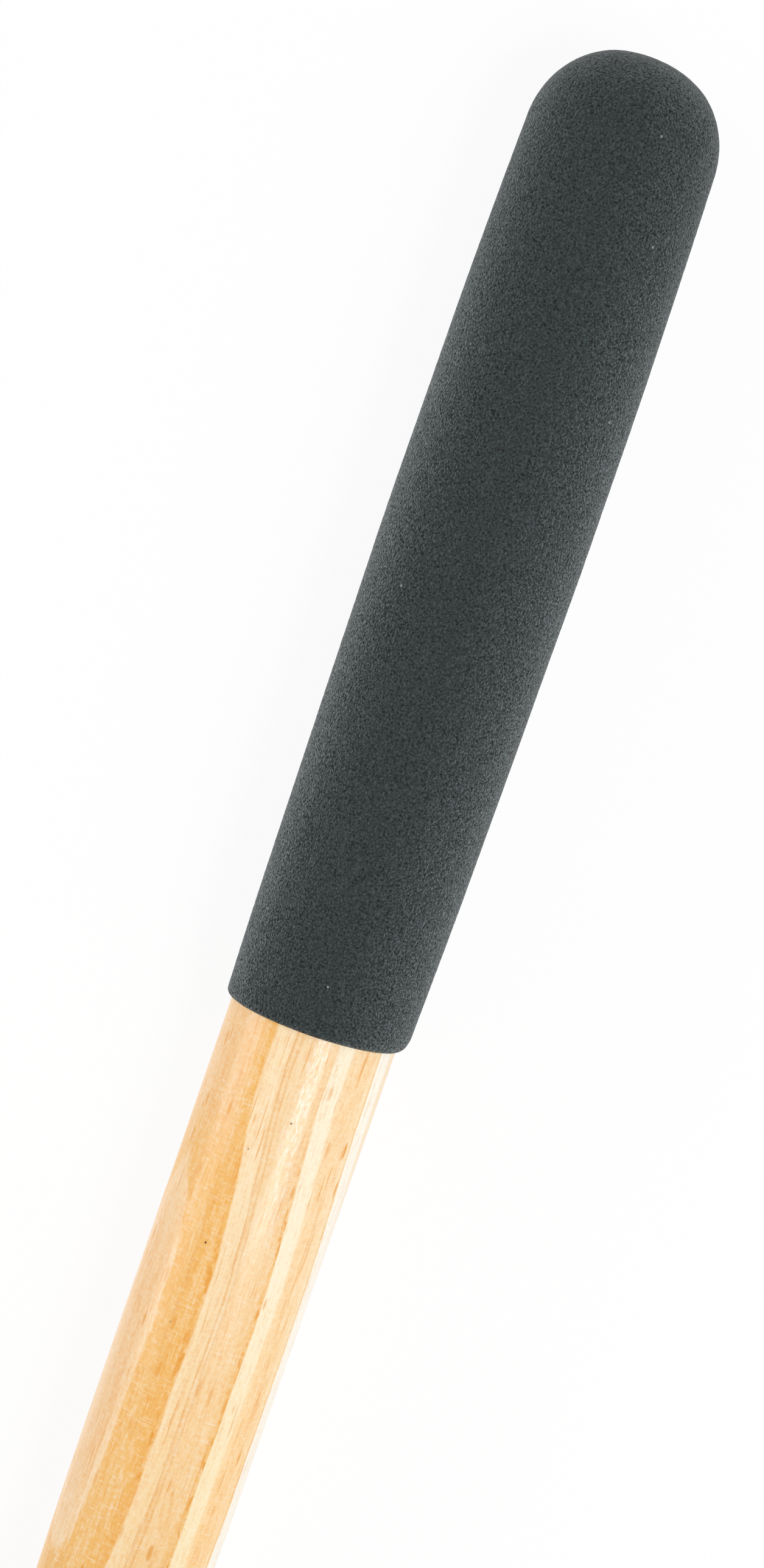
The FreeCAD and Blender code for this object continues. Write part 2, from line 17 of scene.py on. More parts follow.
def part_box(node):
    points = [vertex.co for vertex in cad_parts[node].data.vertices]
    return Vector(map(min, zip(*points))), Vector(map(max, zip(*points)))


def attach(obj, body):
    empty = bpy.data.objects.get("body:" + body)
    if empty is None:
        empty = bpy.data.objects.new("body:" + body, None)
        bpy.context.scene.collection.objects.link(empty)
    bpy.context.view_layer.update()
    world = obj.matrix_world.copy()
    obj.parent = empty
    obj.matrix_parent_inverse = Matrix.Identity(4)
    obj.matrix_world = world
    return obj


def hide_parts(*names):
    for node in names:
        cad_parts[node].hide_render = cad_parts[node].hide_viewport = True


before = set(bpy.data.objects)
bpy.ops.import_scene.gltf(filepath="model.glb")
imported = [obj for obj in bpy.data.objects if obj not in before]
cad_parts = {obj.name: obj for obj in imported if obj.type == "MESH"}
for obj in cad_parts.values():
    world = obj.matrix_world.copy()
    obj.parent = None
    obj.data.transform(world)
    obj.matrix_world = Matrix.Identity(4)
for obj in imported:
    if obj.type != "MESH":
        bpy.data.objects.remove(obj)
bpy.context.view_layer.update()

bl_info = {
    "name": "Snow Brush Scraper",
    "version": (1, 0, 0),
    "blender": (4, 5, 0),
    "location": "3D View > Sidebar > Snow Brush",
    "description": "Makes the pieces and finishes of a wooden snow brush with a foam grip and a scraper",
    "category": "Object",
}

BODY = "root"

# Places that the frame gives.
WOOD_LOW, WOOD_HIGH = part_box("wooden_handle")
GRIP_LOW, GRIP_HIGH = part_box("foam_grip")
HEAD_LOW, HEAD_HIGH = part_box("scraper_head")
AXIS_HEIGHT = (GRIP_LOW.z + GRIP_HIGH.z) / 2
RIM, TIP = GRIP_LOW.x, GRIP_HIGH.x
SHOULDER = HEAD_HIGH.x
GRIP_WOOD_RADIUS = (WOOD_HIGH.z - WOOD_LOW.z) / 2
GRIP_BELLY_RADIUS = (GRIP_HIGH.z - GRIP_LOW.z) / 2

# The brush has four rows of tufts, numbered from -Y to +Y. Near the bottom of its hole, an anchor holds
# each tuft.
ROWS = (1, 2, 3, 4)
OUTER_ROWS = (1, 4)
TUFTS_IN_ROW = 19
ANCHOR_LENGTH = 0.0044
ANCHOR_LIFT = 0.00125


def srgb(red, green, blue):
    """Screen values from 0 to 255 as the linear values that a shader takes."""
    shares = (value / 255 for value in (red, green, blue))
    return tuple(s / 12.92 if s <= 0.04045 else ((s + 0.055) / 1.055) ** 2.4 for s in shares)


def length(name, description, default):
    """A setting that is a length."""
    return FloatProperty(
        name=name, description=description, default=default, min=0, unit="LENGTH", precision=5
    )


def angle(name, description, degrees):
    """A setting that is an angle, whose default is given in degrees."""
    return FloatProperty(name=name, description=description, default=math.radians(degrees), subtype="ANGLE")


def share(name, description, default):
    """A setting from 0 to 1."""
    return FloatProperty(
        name=name, description=description, default=default, min=0, max=1, subtype="FACTOR"
    )


def number(name, description, default, unit="NONE"):
    """A setting from 0 upwards."""
    return FloatProperty(name=name, description=description, default=default, min=0, unit=unit)


def colour(name, description, red, green, blue):
    """A setting that is a colour, whose default is given in screen values."""
    return FloatVectorProperty(
        name=name, description=description, default=srgb(red, green, blue), subtype="COLOR", min=0, max=1
    )


class WoodSettings(PropertyGroup):
    """The turned pine handle and its lacquer."""

    brush_radius: length("Brush end radius", "Radius of the handle where the bristles are set", 0.0146)
    taper_length: length("Taper length", "Length over which the handle narrows to the brush", 0.040)
    tenon_radius: length("Tenon radius", "Radius of the end that the scraper's socket holds", 0.013)
    tenon_chamfer: length("Tenon chamfer", "Chamfer round the end of the tenon", 0.001)
    end_round: length("End rounding", "Rounding of the end inside the grip", 0.008)
    hole_radius: length("Hole radius", "Radius of each drilled bristle hole", 0.0023)
    turning_marks: length("Turning marks", "How far the turned surface strays from a true one", 0.00003)
    growth_angle: angle("Growth angle", "Turn of the growth rings about the handle's length", 208.4)
    lacquer_roughness: share("Lacquer roughness", "Roughness of the clear lacquer", 0.24)


class FoamSettings(PropertyGroup):
    """The slipped-on foam grip."""

    rim_radius: length("Rim radius", "Outer radius at the open end", 0.0164)
    shoulder_radius: length("Shoulder radius", "Outer radius where the domed end starts", 0.01672)
    shoulder_curve: number("Shoulder curve", "2 narrows evenly to the dome, more narrows later", 2.5)
    belly_place: length("Belly place", "Distance from the rim to the thickest place", 0.095)
    dome_length: length("Dome length", "Length of the domed end", 0.0164)
    dome_fullness: number("Dome fullness", "2 is an ellipse, more is fuller", 2.09)
    dome_sag: length("Dome sag", "How far the dome's top is pressed in on its right", 0.00035)
    off_centre: length("Off centre", "How far the skin sits to the right of the handle", 0.00027)
    rim_round: length("Rim rounding", "Rounding of the outer edge at the open end", 0.0011)
    rim_wear: length("Rim wear", "How much more the rim's right side is rounded", 0.0009)
    bore_gap: length("Bore gap", "Gap between the handle and the bore that takes it", 0.00003)
    skin_unevenness: length("Skin unevenness", "Height of the skin's fine bumps", 0.00004)
    form_unevenness: length("Form unevenness", "How far the whole form strays from a true one", 0.00012)
    cell_size: length("Cell size", "Size of the foam's cells", 0.00025)
    body_colour: colour("Foam colour", "Colour of the foam's skin", 35, 42, 42)
    # The sheen colour is a painted sheen, laid over the skin where it is seen at a flat angle.
    sheen_colour: colour("Sheen colour", "Colour of the dusty skin at a flat angle", 82, 88, 89)
    # Grain sets how strongly light is painted on the cell walls and shade in the pits.
    grain: share("Grain", "How much the cell walls and the pits differ from the skin", 1.0)


class PlasticSettings(PropertyGroup):
    """The moulded scraper head."""

    edge_round: length("Edge rounding", "Rounding that the mould leaves on each edge", 0.0004)
    grain_size: length("Grain size", "Size of the mould's texture", 0.0005)
    body_colour: colour("Plastic colour", "Colour of the moulded plastic", 47, 51, 54)
    worn_colour: colour("Scuff colour", "Colour of scuffed plastic", 108, 113, 116)


class BristleSettings(PropertyGroup):
    """The four rows of bristles."""

    strands: IntProperty(name="Strands", description="Bristles in one tuft", default=110, min=8, max=150)
    strand_radius: length("Strand radius", "Radius of one bristle", 0.00018)
    strand_length: length("Bristle length", "How far a tuft stands out of the wood", 0.060)
    root_radius: length("Root radius", "Radius of a tuft where it leaves the wood", 0.0020)
    tip_radius: length("Tip radius", "Radius of a tuft at its tips", 0.0050)
    outer_lean: angle("Outer lean", "Lean of the two outer rows", 16)
    inner_lean: angle("Inner lean", "Lean of the two inner rows", 5)
    body_colour: colour("Bristle colour", "Colour of the bristles", 40, 44, 47)
    tip_colour: colour("Tip colour", "Colour of the split tips", 104, 109, 112)


class MetalSettings(PropertyGroup):
    """The screws and the wire anchors."""

    screw_colour: colour("Screw colour", "Colour of the plated screws", 190, 192, 194)
    wire_colour: colour("Wire colour", "Colour of the anchor wire", 172, 168, 160)


class StageSettings(PropertyGroup):
    """The floor, the lamps and the camera."""

    floor_size: length("Floor size", "Side of the square floor", 8.0)
    floor_glow: share("Floor glow", "Share of the floor's look that no shadow reaches", 0.92)
    sky: number("Sky strength", "Strength of the white surroundings", 0.36)
    key_power: number("Key power", "Power of the lamp above", 5.3, "POWER")
    left_power: number("Left power", "Power of the left lamp", 5.5, "POWER")
    right_power: number("Right power", "Power of the right lamp", 1.8, "POWER")
    lens: number("Lens", "Focal length", 75.77, "CAMERA")
    turn: angle("Turn", "How far the handle leans right in the view", 19.15)
    tilt: angle("Tilt", "How much nearer the grip's end is than the level", 5.02)
    rim_in_view: FloatVectorProperty(
        name="Rim in view", description="The grip's rim as the camera sees it: right, up, back",
        default=(-0.01165, -0.04114, -0.5712), unit="LENGTH",
    )


class SnowBrushSettings(PropertyGroup):
    """Every size and colour of the brush's looks."""

    wood: PointerProperty(type=WoodSettings)
    foam: PointerProperty(type=FoamSettings)
    plastic: PointerProperty(type=PlasticSettings)
    bristles: PointerProperty(type=BristleSettings)
    metal: PointerProperty(type=MetalSettings)
    stage: PointerProperty(type=StageSettings)


# Node trees


def feed(tree, node, inputs):
    """Gives a node its inputs. Each is a value, or a socket to link."""
    for name, value in inputs.items():
        if isinstance(value, bpy.types.NodeSocket):
            tree.links.new(value, node.inputs[name])
        else:
            node.inputs[name].default_value = value


def add_node(tree, kind, inputs=None, **settings):
    """Adds a node with its settings and its inputs."""
    node = tree.nodes.new(kind)
    for name, value in settings.items():
        setattr(node, name, value)
    feed(tree, node, inputs or {})
    return node


def calculate(tree, operation, first, second=0.0, third=0.0, clamp=False):
    """The result of a Math node."""
    inputs = {0: first, 1: second, 2: third}
    return add_node(tree, "ShaderNodeMath", inputs, operation=operation, use_clamp=clamp).outputs[0]


def product(tree, *values):
    """The product of two or more values."""
    result = values[0]
    for value in values[1:]:
        result = calculate(tree, "MULTIPLY", result, value)
    return result


def spread(tree, value, low, high, start=0.0, end=1.0, smooth=True):
    """A value between low and high, spread over the range from start to end."""
    inputs = {"Value": value, "From Min": low, "From Max": high, "To Min": start, "To Max": end}
    shape = "SMOOTHSTEP" if smooth else "LINEAR"
    return add_node(tree, "ShaderNodeMapRange", inputs, interpolation_type=shape).outputs[0]


def within(tree, value, low, high, rise, fall):
    """1 from low to high, after a rise up to low and before a fall past high."""
    up = spread(tree, value, low - rise, low)
    down = spread(tree, value, high, high + fall, 1.0, 0.0)
    return product(tree, up, down)


def blend(tree, amount, first, second, mode="MIX"):
    """The result of mixing two colours."""
    inputs = {"Factor": amount, "A": first, "B": second}
    node = tree.nodes.new("ShaderNodeMix")
    node.data_type, node.blend_type = "RGBA", mode
    for name, value in inputs.items():
        socket = next(s for s in node.inputs if s.name == name and s.enabled)
        if isinstance(value, bpy.types.NodeSocket):
            tree.links.new(value, socket)
        elif name == "Factor":
            socket.default_value = value
        else:
            socket.default_value = (*value[:3], 1)
    return next(s for s in node.outputs if s.enabled)


def layered(tree, base, *layers):
    """A colour with others laid over it. Each layer is an amount, a colour and, if need be, a blend mode."""
    for amount, *laid in layers:
        base = blend(tree, amount, base, *laid)
    return base


def colour_ramp(tree, value, stops):
    """A Color Ramp over a value from 0 to 1. Stops are (place, colour)."""
    node = add_node(tree, "ShaderNodeValToRGB", {0: value})
    elements = node.color_ramp.elements
    while len(elements) > 1:
        elements.remove(elements[-1])
    elements[0].position, elements[0].color = stops[0][0], (*stops[0][1], 1)
    for place, shade in stops[1:]:
        elements.new(place).color = (*shade, 1)
    return node.outputs[0]


def noise_value(tree, vector, scale=1.0, detail=2.0, roughness=0.5, distortion=0.0):
    """The value of a Noise Texture, about 0.5 on average."""
    inputs = {"Vector": vector, "Scale": scale, "Detail": detail, "Roughness": roughness}
    return add_node(tree, "ShaderNodeTexNoise", {**inputs, "Distortion": distortion}).outputs[0]


def object_place(tree, centre=(0, 0, 0)):
    """Object coordinates measured from a centre."""
    source = add_node(tree, "ShaderNodeTexCoord").outputs["Object"]
    inputs = {"Vector": source, "Location": [-c for c in centre]}
    return add_node(tree, "ShaderNodeMapping", inputs).outputs[0]


def bump(tree, height, distance, strength=1.0):
    """The normal of a surface with a fine relief."""
    inputs = {"Height": height, "Distance": distance, "Strength": strength}
    return add_node(tree, "ShaderNodeBump", inputs).outputs[0]


def lay_out(tree):
    """Sets the nodes out in columns, from the first sources on the left to the output on the right."""
    columns = {}

    def column(node):
        if node.name not in columns:
            columns[node.name] = 0
            after = [link.to_node for out in node.outputs for link in out.links]
            columns[node.name] = 1 + max((column(n) for n in after), default=-1)
        return columns[node.name]

    rows = {}
    for node in tree.nodes:
        place = column(node)
        rows[place] = rows.get(place, 0) + 1
        node.location = (-220 * place, -240 * rows[place])


def stretched(tree, vector, along, across):
    """Coordinates in which a pattern of unit size is so long along the handle and so wide across it."""
    size = add_node(tree, "ShaderNodeCombineXYZ", {"X": along, "Y": across, "Z": across}).outputs[0]
    return add_node(tree, "ShaderNodeVectorMath", {0: vector, 1: size}, operation="DIVIDE").outputs[0]


# Effects that several materials share


def streaks_nodes(tree, given):
    """Soft streaks along the handle, each much longer than it is wide."""
    scaled = stretched(tree, given["Vector"], given["Length"], given["Width"])
    return {"Value": noise_value(tree, scaled, detail=given["Detail"], roughness=0.6)}


def specks_nodes(tree, given):
    """Scattered specks, stretched along the handle or round. Share is how many of the places hold one."""
    along = product(tree, given["Spacing"], given["Stretch"])
    scaled = stretched(tree, given["Vector"], along, given["Spacing"])
    cells = add_node(tree, "ShaderNodeTexVoronoi", {"Vector": scaled, "Scale": 1.0}).outputs
    reach = calculate(tree, "DIVIDE", given["Size"], given["Spacing"])
    near = spread(tree, cells["Distance"], product(tree, reach, 0.5), reach, 1.0, 0.0)
    chance = add_node(tree, "ShaderNodeSeparateColor", {0: cells["Color"]}).outputs
    chosen = calculate(tree, "LESS_THAN", chance[0], given["Share"])
    strength = spread(tree, chance[1], 0.0, 1.0, 0.4, 1.0, smooth=False)
    return {"Mask": product(tree, near, chosen, strength)}


def grained_skin_nodes(tree, given):
    """A grained skin: raised grains with pits between them, all about one size."""
    scaled = stretched(tree, given["Vector"], given["Size"], given["Size"])
    lumps = noise_value(tree, scaled, scale=0.66, detail=1.5, roughness=0.6)
    grains, pits = spread(tree, lumps, 0.42, 0.74), spread(tree, lumps, 0.46, 0.27)
    return {"Grains": grains, "Pits": pits, "Height": lumps}


# What makes each effect's nodes, and the numbers that it is given besides a place.
EFFECTS = {
    "Streaks": (streaks_nodes, {"Length": 0.02, "Width": 0.001, "Detail": 3.0}),
    "Specks": (specks_nodes, {"Spacing": 0.005, "Size": 0.0005, "Stretch": 1.0, "Share": 0.3}),
    "Grained skin": (grained_skin_nodes, {"Size": 0.0004}),
}


def new_group(name):
    """An effect's node group, with named inputs and outputs."""
    make_nodes, numbers = EFFECTS[name]
    tree = bpy.data.node_groups.new(name, "ShaderNodeTree")
    tree.interface.new_socket("Vector", in_out="INPUT", socket_type="NodeSocketVector")
    for socket_name, default in numbers.items():
        socket = tree.interface.new_socket(socket_name, in_out="INPUT", socket_type="NodeSocketFloat")
        socket.default_value = default
    results = make_nodes(tree, tree.nodes.new("NodeGroupInput").outputs)
    for socket_name in results:
        tree.interface.new_socket(socket_name, in_out="OUTPUT", socket_type="NodeSocketFloat")
    feed(tree, tree.nodes.new("NodeGroupOutput"), results)
    lay_out(tree)
    return tree


def effect(tree, name, **inputs):
    """The outputs of a shared effect, whose group is built the first time that it is used."""
    group = bpy.data.node_groups.get(name) or new_group(name)
    node = add_node(tree, "ShaderNodeGroup", node_tree=group)
    feed(tree, node, {key.title(): value for key, value in inputs.items()})
    return node.outputs


def streaks(tree, place, long, wide, detail=2.0):
    """Values of soft streaks of a size along and across the handle."""
    return effect(tree, "Streaks", vector=place, length=long, width=wide, detail=detail)["Value"]


def specks(tree, place, spacing, size, portion, stretch=1.0):
    """A mask of specks, of which a portion of the places hold one."""
    mask = effect(tree, "Specks", vector=place, spacing=spacing, size=size, stretch=stretch, share=portion)
    return mask["Mask"]


# Materials


def new_material(name, **constants):
    """A material and its nodes. Constant values are set on its Principled shader's own sockets."""
    material = bpy.data.materials.new(name)
    material.use_nodes = True
    tree = material.node_tree
    values = {socket.replace("_", " "): value for socket, value in constants.items()}
    feed(tree, tree.nodes["Principled BSDF"], values)
    return material, tree


def finish_material(material, surface_colour, roughness, normal):
    """Links what changes over the surface, and lays the nodes out."""
    tree = material.node_tree
    changing = {"Base Color": surface_colour, "Roughness": roughness, "Normal": normal}
    feed(tree, tree.nodes["Principled BSDF"], changing)
    lay_out(tree)
    return material


# Pine, from its first year's peach wood to its last year's pale one.
PEACH = srgb(246, 204, 151)
TAN = srgb(244, 193, 117)
AMBER = srgb(244, 189, 107)
HONEY = srgb(249, 212, 162)
CREAM = srgb(252, 225, 181)
ROSY = srgb(250, 216, 166)
PALE = srgb(253, 240, 210)
WHITE = srgb(254, 247, 232)
# Thin lines between rings, dark fibres, the tint of old wood, resin and knots.
LINE = srgb(240, 190, 128)
FIBRE = srgb(238, 176, 100)
AGED = (1.0, 0.92, 0.77)
RESIN = srgb(234, 158, 60)
KNOT = srgb(92, 72, 52)

# Each year starts with pale wood and ends with dark wood at a sharp edge. Places are counted across the
# handle, in its radii, towards the bark.
FIRST_EDGE, SECOND_EDGE, THIRD_EDGE = -0.800, -0.156, 0.465
RING_SHADES = (
    (-1.500, PEACH), (-1.170, PEACH), (-1.135, HONEY), (-1.122, HONEY), (-1.112, AMBER), (-1.060, TAN),
    (-1.000, TAN), (-0.950, AMBER), (FIRST_EDGE, AMBER), (-0.790, CREAM), (-0.634, CREAM), (-0.620, LINE),
    (-0.606, ROSY), (-0.578, ROSY), (-0.566, LINE), (-0.552, ROSY), (-0.400, ROSY), (SECOND_EDGE, ROSY),
    (-0.146, PALE), (0.040, PALE), (0.080, CREAM), (0.180, ROSY), (0.330, ROSY), (0.430, CREAM),
    (THIRD_EDGE, TAN), (0.475, WHITE), (0.640, WHITE), (0.700, CREAM), (0.900, ROSY), (1.100, AMBER),
    (1.120, WHITE), (1.500, CREAM),
)
RING_REACH = 1.5

# How far the rings wander across the handle, in radii, at each distance from the grip's rim.
RING_WANDER = (
    (-0.170, 0.06), (-0.090, 0.0), (-0.030, 0.03), (0.0, 0.022), (0.010, 0.030), (0.018, 0.057),
    (0.030, 0.13), (0.040, 0.175), (0.052, 0.198), (0.075, 0.188), (0.095, 0.16), (0.140, 0.05),
    (0.190, 0.14), (0.250, 0.03), (0.310, 0.12), (0.395, 0.04),
)
# The curve is drawn this many times as high, to use more of its range.
WANDER_SCALE = 4.0

# Foam: its lint, and the bands of painted highlight and painted shade along its sides. Each runs from one
# place to another, after a rise and before a fall, in the grip's radii from the middle to its right.
LINT = srgb(176, 182, 180)
SHEEN_BAND = (0.28, 0.46, 0.30, 0.30)
SHADED_BAND = (-0.66, -0.42, 0.16, 0.36)

# Past the first distance from the floor's middle its shadows fade, and past the second it has none.
SHADOWS_FADE, SHADOWS_END = 0.5, 1.2


def grey(value):
    """A tint that changes only how light a colour is."""
    return (value, value, value)


def either_way(tree, value, reach):
    """A noise value spread evenly from -reach to reach."""
    return spread(tree, value, 0.25, 0.75, -reach, reach, smooth=False)


def wander_curve(tree, distance):
    """The rings' wander at a distance from the grip's rim."""
    first, last = RING_WANDER[0][0], RING_WANDER[-1][0]
    place = spread(tree, distance, first, last, smooth=False)
    node = add_node(tree, "ShaderNodeFloatCurve", {"Value": place})
    points = node.mapping.curves[0].points
    ends = [points[0], points[-1]]
    for (where, shift), point in zip((RING_WANDER[0], RING_WANDER[-1]), ends):
        point.location = ((where - first) / (last - first), shift * WANDER_SCALE)
    for where, shift in RING_WANDER[1:-1]:
        points.new((where - first) / (last - first), shift * WANDER_SCALE)
    node.mapping.update()
    return calculate(tree, "DIVIDE", node.outputs[0], WANDER_SCALE)


def ring_place(tree, place, distance, wood):
    """How far across the rings each point lies, in the handle's radii, once their wander is taken out."""
    growth = (0, math.cos(wood.growth_angle), math.sin(wood.growth_angle))
    across = add_node(tree, "ShaderNodeVectorMath", {0: place, 1: growth}, operation="DOT_PRODUCT")
    across = calculate(tree, "DIVIDE", across.outputs["Value"], GRIP_WOOD_RADIUS)
    swing = product(tree, wander_curve(tree, distance), spread(tree, across, -0.6, 0.6, 1.0, 0.72))
    waver = spread(tree, streaks(tree, place, 0.018, 0.006), 0.2, 0.8, -0.018, 0.018, smooth=False)
    return calculate(tree, "ADD", calculate(tree, "SUBTRACT", across, swing), waver)


def year_colour(tree, place, distance, ring):
    """The colour of each year's wood, how it changes along the handle, and a painted highlight beside the
    grip.
    """
    ring_share = spread(tree, ring, -RING_REACH, RING_REACH, smooth=False)
    stops = [((where + RING_REACH) / (2 * RING_REACH), shade) for where, shade in RING_SHADES]
    wood_colour = colour_ramp(tree, ring_share, stops)

    # The oldest year is paler near the grip than further down.
    paler = product(tree, spread(tree, distance, 0.030, 0.012), spread(tree, ring, -0.82, -0.95), 0.75)

    # Away from the grip the middle years are warmer, and the late wood at the end of one year is amber.
    middle_years = within(tree, ring, -0.60, THIRD_EDGE, 0.35, 0.01)
    aged = product(tree, spread(tree, distance, 0.025, 0.090), middle_years)
    late = spread(tree, distance, 0.012, 0.045, 0.0, 0.75)
    late = product(tree, within(tree, ring, SECOND_EDGE - 0.004, SECOND_EDGE, 0.17, 0.01), late)

    # A painted highlight: white dashes beside the grip, where the lamp above is reflected in the lacquer,
    # laid in the middle of that year.
    highlight_dashes = spread(tree, streaks(tree, place, 0.0018, 0.0004), 0.42, 0.62)
    beside_grip = spread(tree, distance, 0.045, 0.015)
    highlight_dashes = product(tree, highlight_dashes, beside_grip, within(tree, ring, -0.36, -0.30, 0.14, 0.08), 0.7)
    return layered(
        tree, wood_colour, (paler, PEACH), (aged, AGED, "MULTIPLY"), (late, AMBER), (highlight_dashes, WHITE)
    )


def with_resin(tree, wood_colour, place, distance, ring):
    """Resin: flecks all over, spots along the dark side of two edges, late streaks, and dots."""
    flecks = specks(tree, place, 0.0024, 0.00050, 0.50, stretch=4.0)
    flecks = product(tree, flecks, spread(tree, ring, 0.44, 0.47, 0.9, 0.15))
    at_first = within(tree, ring, FIRST_EDGE - 0.030, FIRST_EDGE - 0.006, 0.03, 0.006)
    at_second = within(tree, ring, SECOND_EDGE - 0.024, SECOND_EDGE, 0.03, 0.006)
    spots = spread(tree, streaks(tree, place, 0.0030, 0.0012), 0.48, 0.62, 0.0, 0.85)
    spots = product(tree, spots, calculate(tree, "MAXIMUM", at_first, at_second))
    spots = product(tree, spots, spread(tree, distance, 0.012, 0.035))
    last_years = within(tree, ring, 0.17, 0.30, 0.05, 0.05)
    flow = calculate(tree, "MULTIPLY_ADD", last_years, 0.09, streaks(tree, place, 0.012, 0.00055))
    flow = spread(tree, flow, 0.62, 0.74, 0.0, 0.65)
    dots = specks(tree, place, 0.0062, 0.00026, 0.30, stretch=1.3)
    dots = calculate(tree, "MULTIPLY", dots, 1.4, clamp=True)
    return layered(tree, wood_colour, (flecks, RESIN), (spots, RESIN), (flow, RESIN), (dots, KNOT))


def pine_material(wood):
    """Turned pine under a clear lacquer: year rings, fibres, hairs across the grain, and resin."""
    material, tree = new_material(
        "lacquered pine", IOR=1.5, Specular_IOR_Level=0.1, Coat_Weight=0.22, Coat_Roughness=0.12,
        Coat_IOR=1.5,
    )
    place = object_place(tree, (RIM, 0, AXIS_HEIGHT))
    distance = product(tree, add_node(tree, "ShaderNodeSeparateXYZ", {0: place}).outputs["X"], -1.0)
    ring = ring_place(tree, place, distance, wood)
    wood_colour = year_colour(tree, place, distance, ring)

    # Fibres and mottle darken or lighten the wood, less so where it is seen at a flat angle.
    fibres = streaks(tree, place, 0.030, 0.0011, detail=4.0)
    fine = streaks(tree, place, 0.0035, 0.00028)
    shade = calculate(tree, "ADD", either_way(tree, fibres, 0.045), either_way(tree, fine, 0.040))
    shade = calculate(tree, "ADD", shade, either_way(tree, noise_value(tree, place, scale=1400.0), 0.035))
    flat_angle = add_node(tree, "ShaderNodeLayerWeight", {"Blend": 0.5}).outputs["Facing"]
    shade = product(tree, shade, spread(tree, flat_angle, 0.70, 0.90, 1.0, 0.2))
    dark = calculate(tree, "MULTIPLY", shade, -5.4, clamp=True)
    light = calculate(tree, "MULTIPLY", shade, 5.0, clamp=True)
    hairs = spread(tree, streaks(tree, place, 0.00022, 0.0025), 0.52, 0.80, 0.0, 0.45)
    wood_colour = layered(tree, wood_colour, (dark, FIBRE, "MULTIPLY"), (light, WHITE), (hairs, WHITE))
    wood_colour = with_resin(tree, wood_colour, place, distance, ring)

    sheen = spread(tree, fine, 0.3, 0.7, wood.lacquer_roughness - 0.05, wood.lacquer_roughness + 0.12)
    relief = calculate(tree, "ADD", fine, product(tree, fibres, 2.0))
    strength = spread(tree, flat_angle, 0.55, 0.85, 1.0, 0.0)
    return finish_material(material, wood_colour, sheen, bump(tree, relief, 0.00003, strength))


def foam_material(foam):
    """Closed-cell foam: a dark grained skin with painted light, shade, sheen and glints, and some lint."""
    material, tree = new_material("closed-cell foam", IOR=1.5, Specular_IOR_Level=0.2)
    place = object_place(tree, (RIM, 0, AXIS_HEIGHT))
    axes = add_node(tree, "ShaderNodeSeparateXYZ", {0: place}).outputs
    skin = effect(tree, "Grained skin", vector=place, size=foam.cell_size)
    grained = bump(tree, skin["Height"], foam.cell_size * 2.0)
    facing_inputs = {"Blend": 0.5, "Normal": grained}
    flat_angle = add_node(tree, "ShaderNodeLayerWeight", facing_inputs).outputs["Facing"]
    # A painted sheen: the skin is lightened where it is seen at a flat angle, less so near the domed end.
    grazing_sheen = calculate(tree, "POWER", spread(tree, flat_angle, 0.19, 0.95, smooth=False), 1.3)
    grazing_sheen = product(tree, grazing_sheen, spread(tree, axes["X"], TIP - RIM - 0.070, TIP - RIM - 0.020, 1.0, 0.60))

    # A painted highlight lightens a band along the skin's right side, and painted shade darkens one along
    # its left.
    side = calculate(tree, "DIVIDE", axes["Y"], -GRIP_BELLY_RADIUS)
    sheeny, painted_shade = within(tree, side, *SHEEN_BAND), within(tree, side, *SHADED_BAND)

    # Painted light and shade on the cell grain: the walls are painted lighter and the pits darker, more so
    # where the skin is seen at a flat angle.
    grain = spread(tree, flat_angle, 0.02, 0.25, foam.grain * 0.42, foam.grain)
    lit_walls, pits = product(tree, skin["Grains"], grain), product(tree, skin["Pits"], grain)
    # Painted glints: tiny light specks in the sheen colour.
    dust_and_glints = product(tree, specks(tree, place, 0.0011, 0.00020, 0.28), 0.7)
    lint = product(tree, specks(tree, place, 0.0042, 0.00030, 0.22), 0.8)
    foam_colour = layered(
        tree, foam.body_colour, (grazing_sheen, foam.sheen_colour),
        (sheeny, grey(1.15), "MULTIPLY"), (painted_shade, grey(0.85), "MULTIPLY"),
        (lit_walls, grey(3.7), "MULTIPLY"), (pits, grey(0.08), "MULTIPLY"),
        (dust_and_glints, foam.sheen_colour), (lint, LINT),
    )
    return finish_material(material, foam_colour, spread(tree, skin["Pits"], 0.0, 1.0, 0.5, 0.85), grained)


def scratch_mask(tree, place):
    """Fine scratches across the blade, gathered in worn patches."""
    turn = {"Vector": place, "Rotation": (0, 0, math.radians(7))}
    turned = add_node(tree, "ShaderNodeMapping", turn).outputs[0]
    lines = noise_value(tree, stretched(tree, turned, 0.0009, 0.016), detail=1.0, distortion=0.3)
    off = calculate(tree, "ABSOLUTE", calculate(tree, "SUBTRACT", lines, 0.5))
    patches = noise_value(tree, place, scale=40.0)
    return product(tree, spread(tree, off, 0.0, 0.012, 1.0, 0.0), spread(tree, patches, 0.5, 0.65), 0.9)


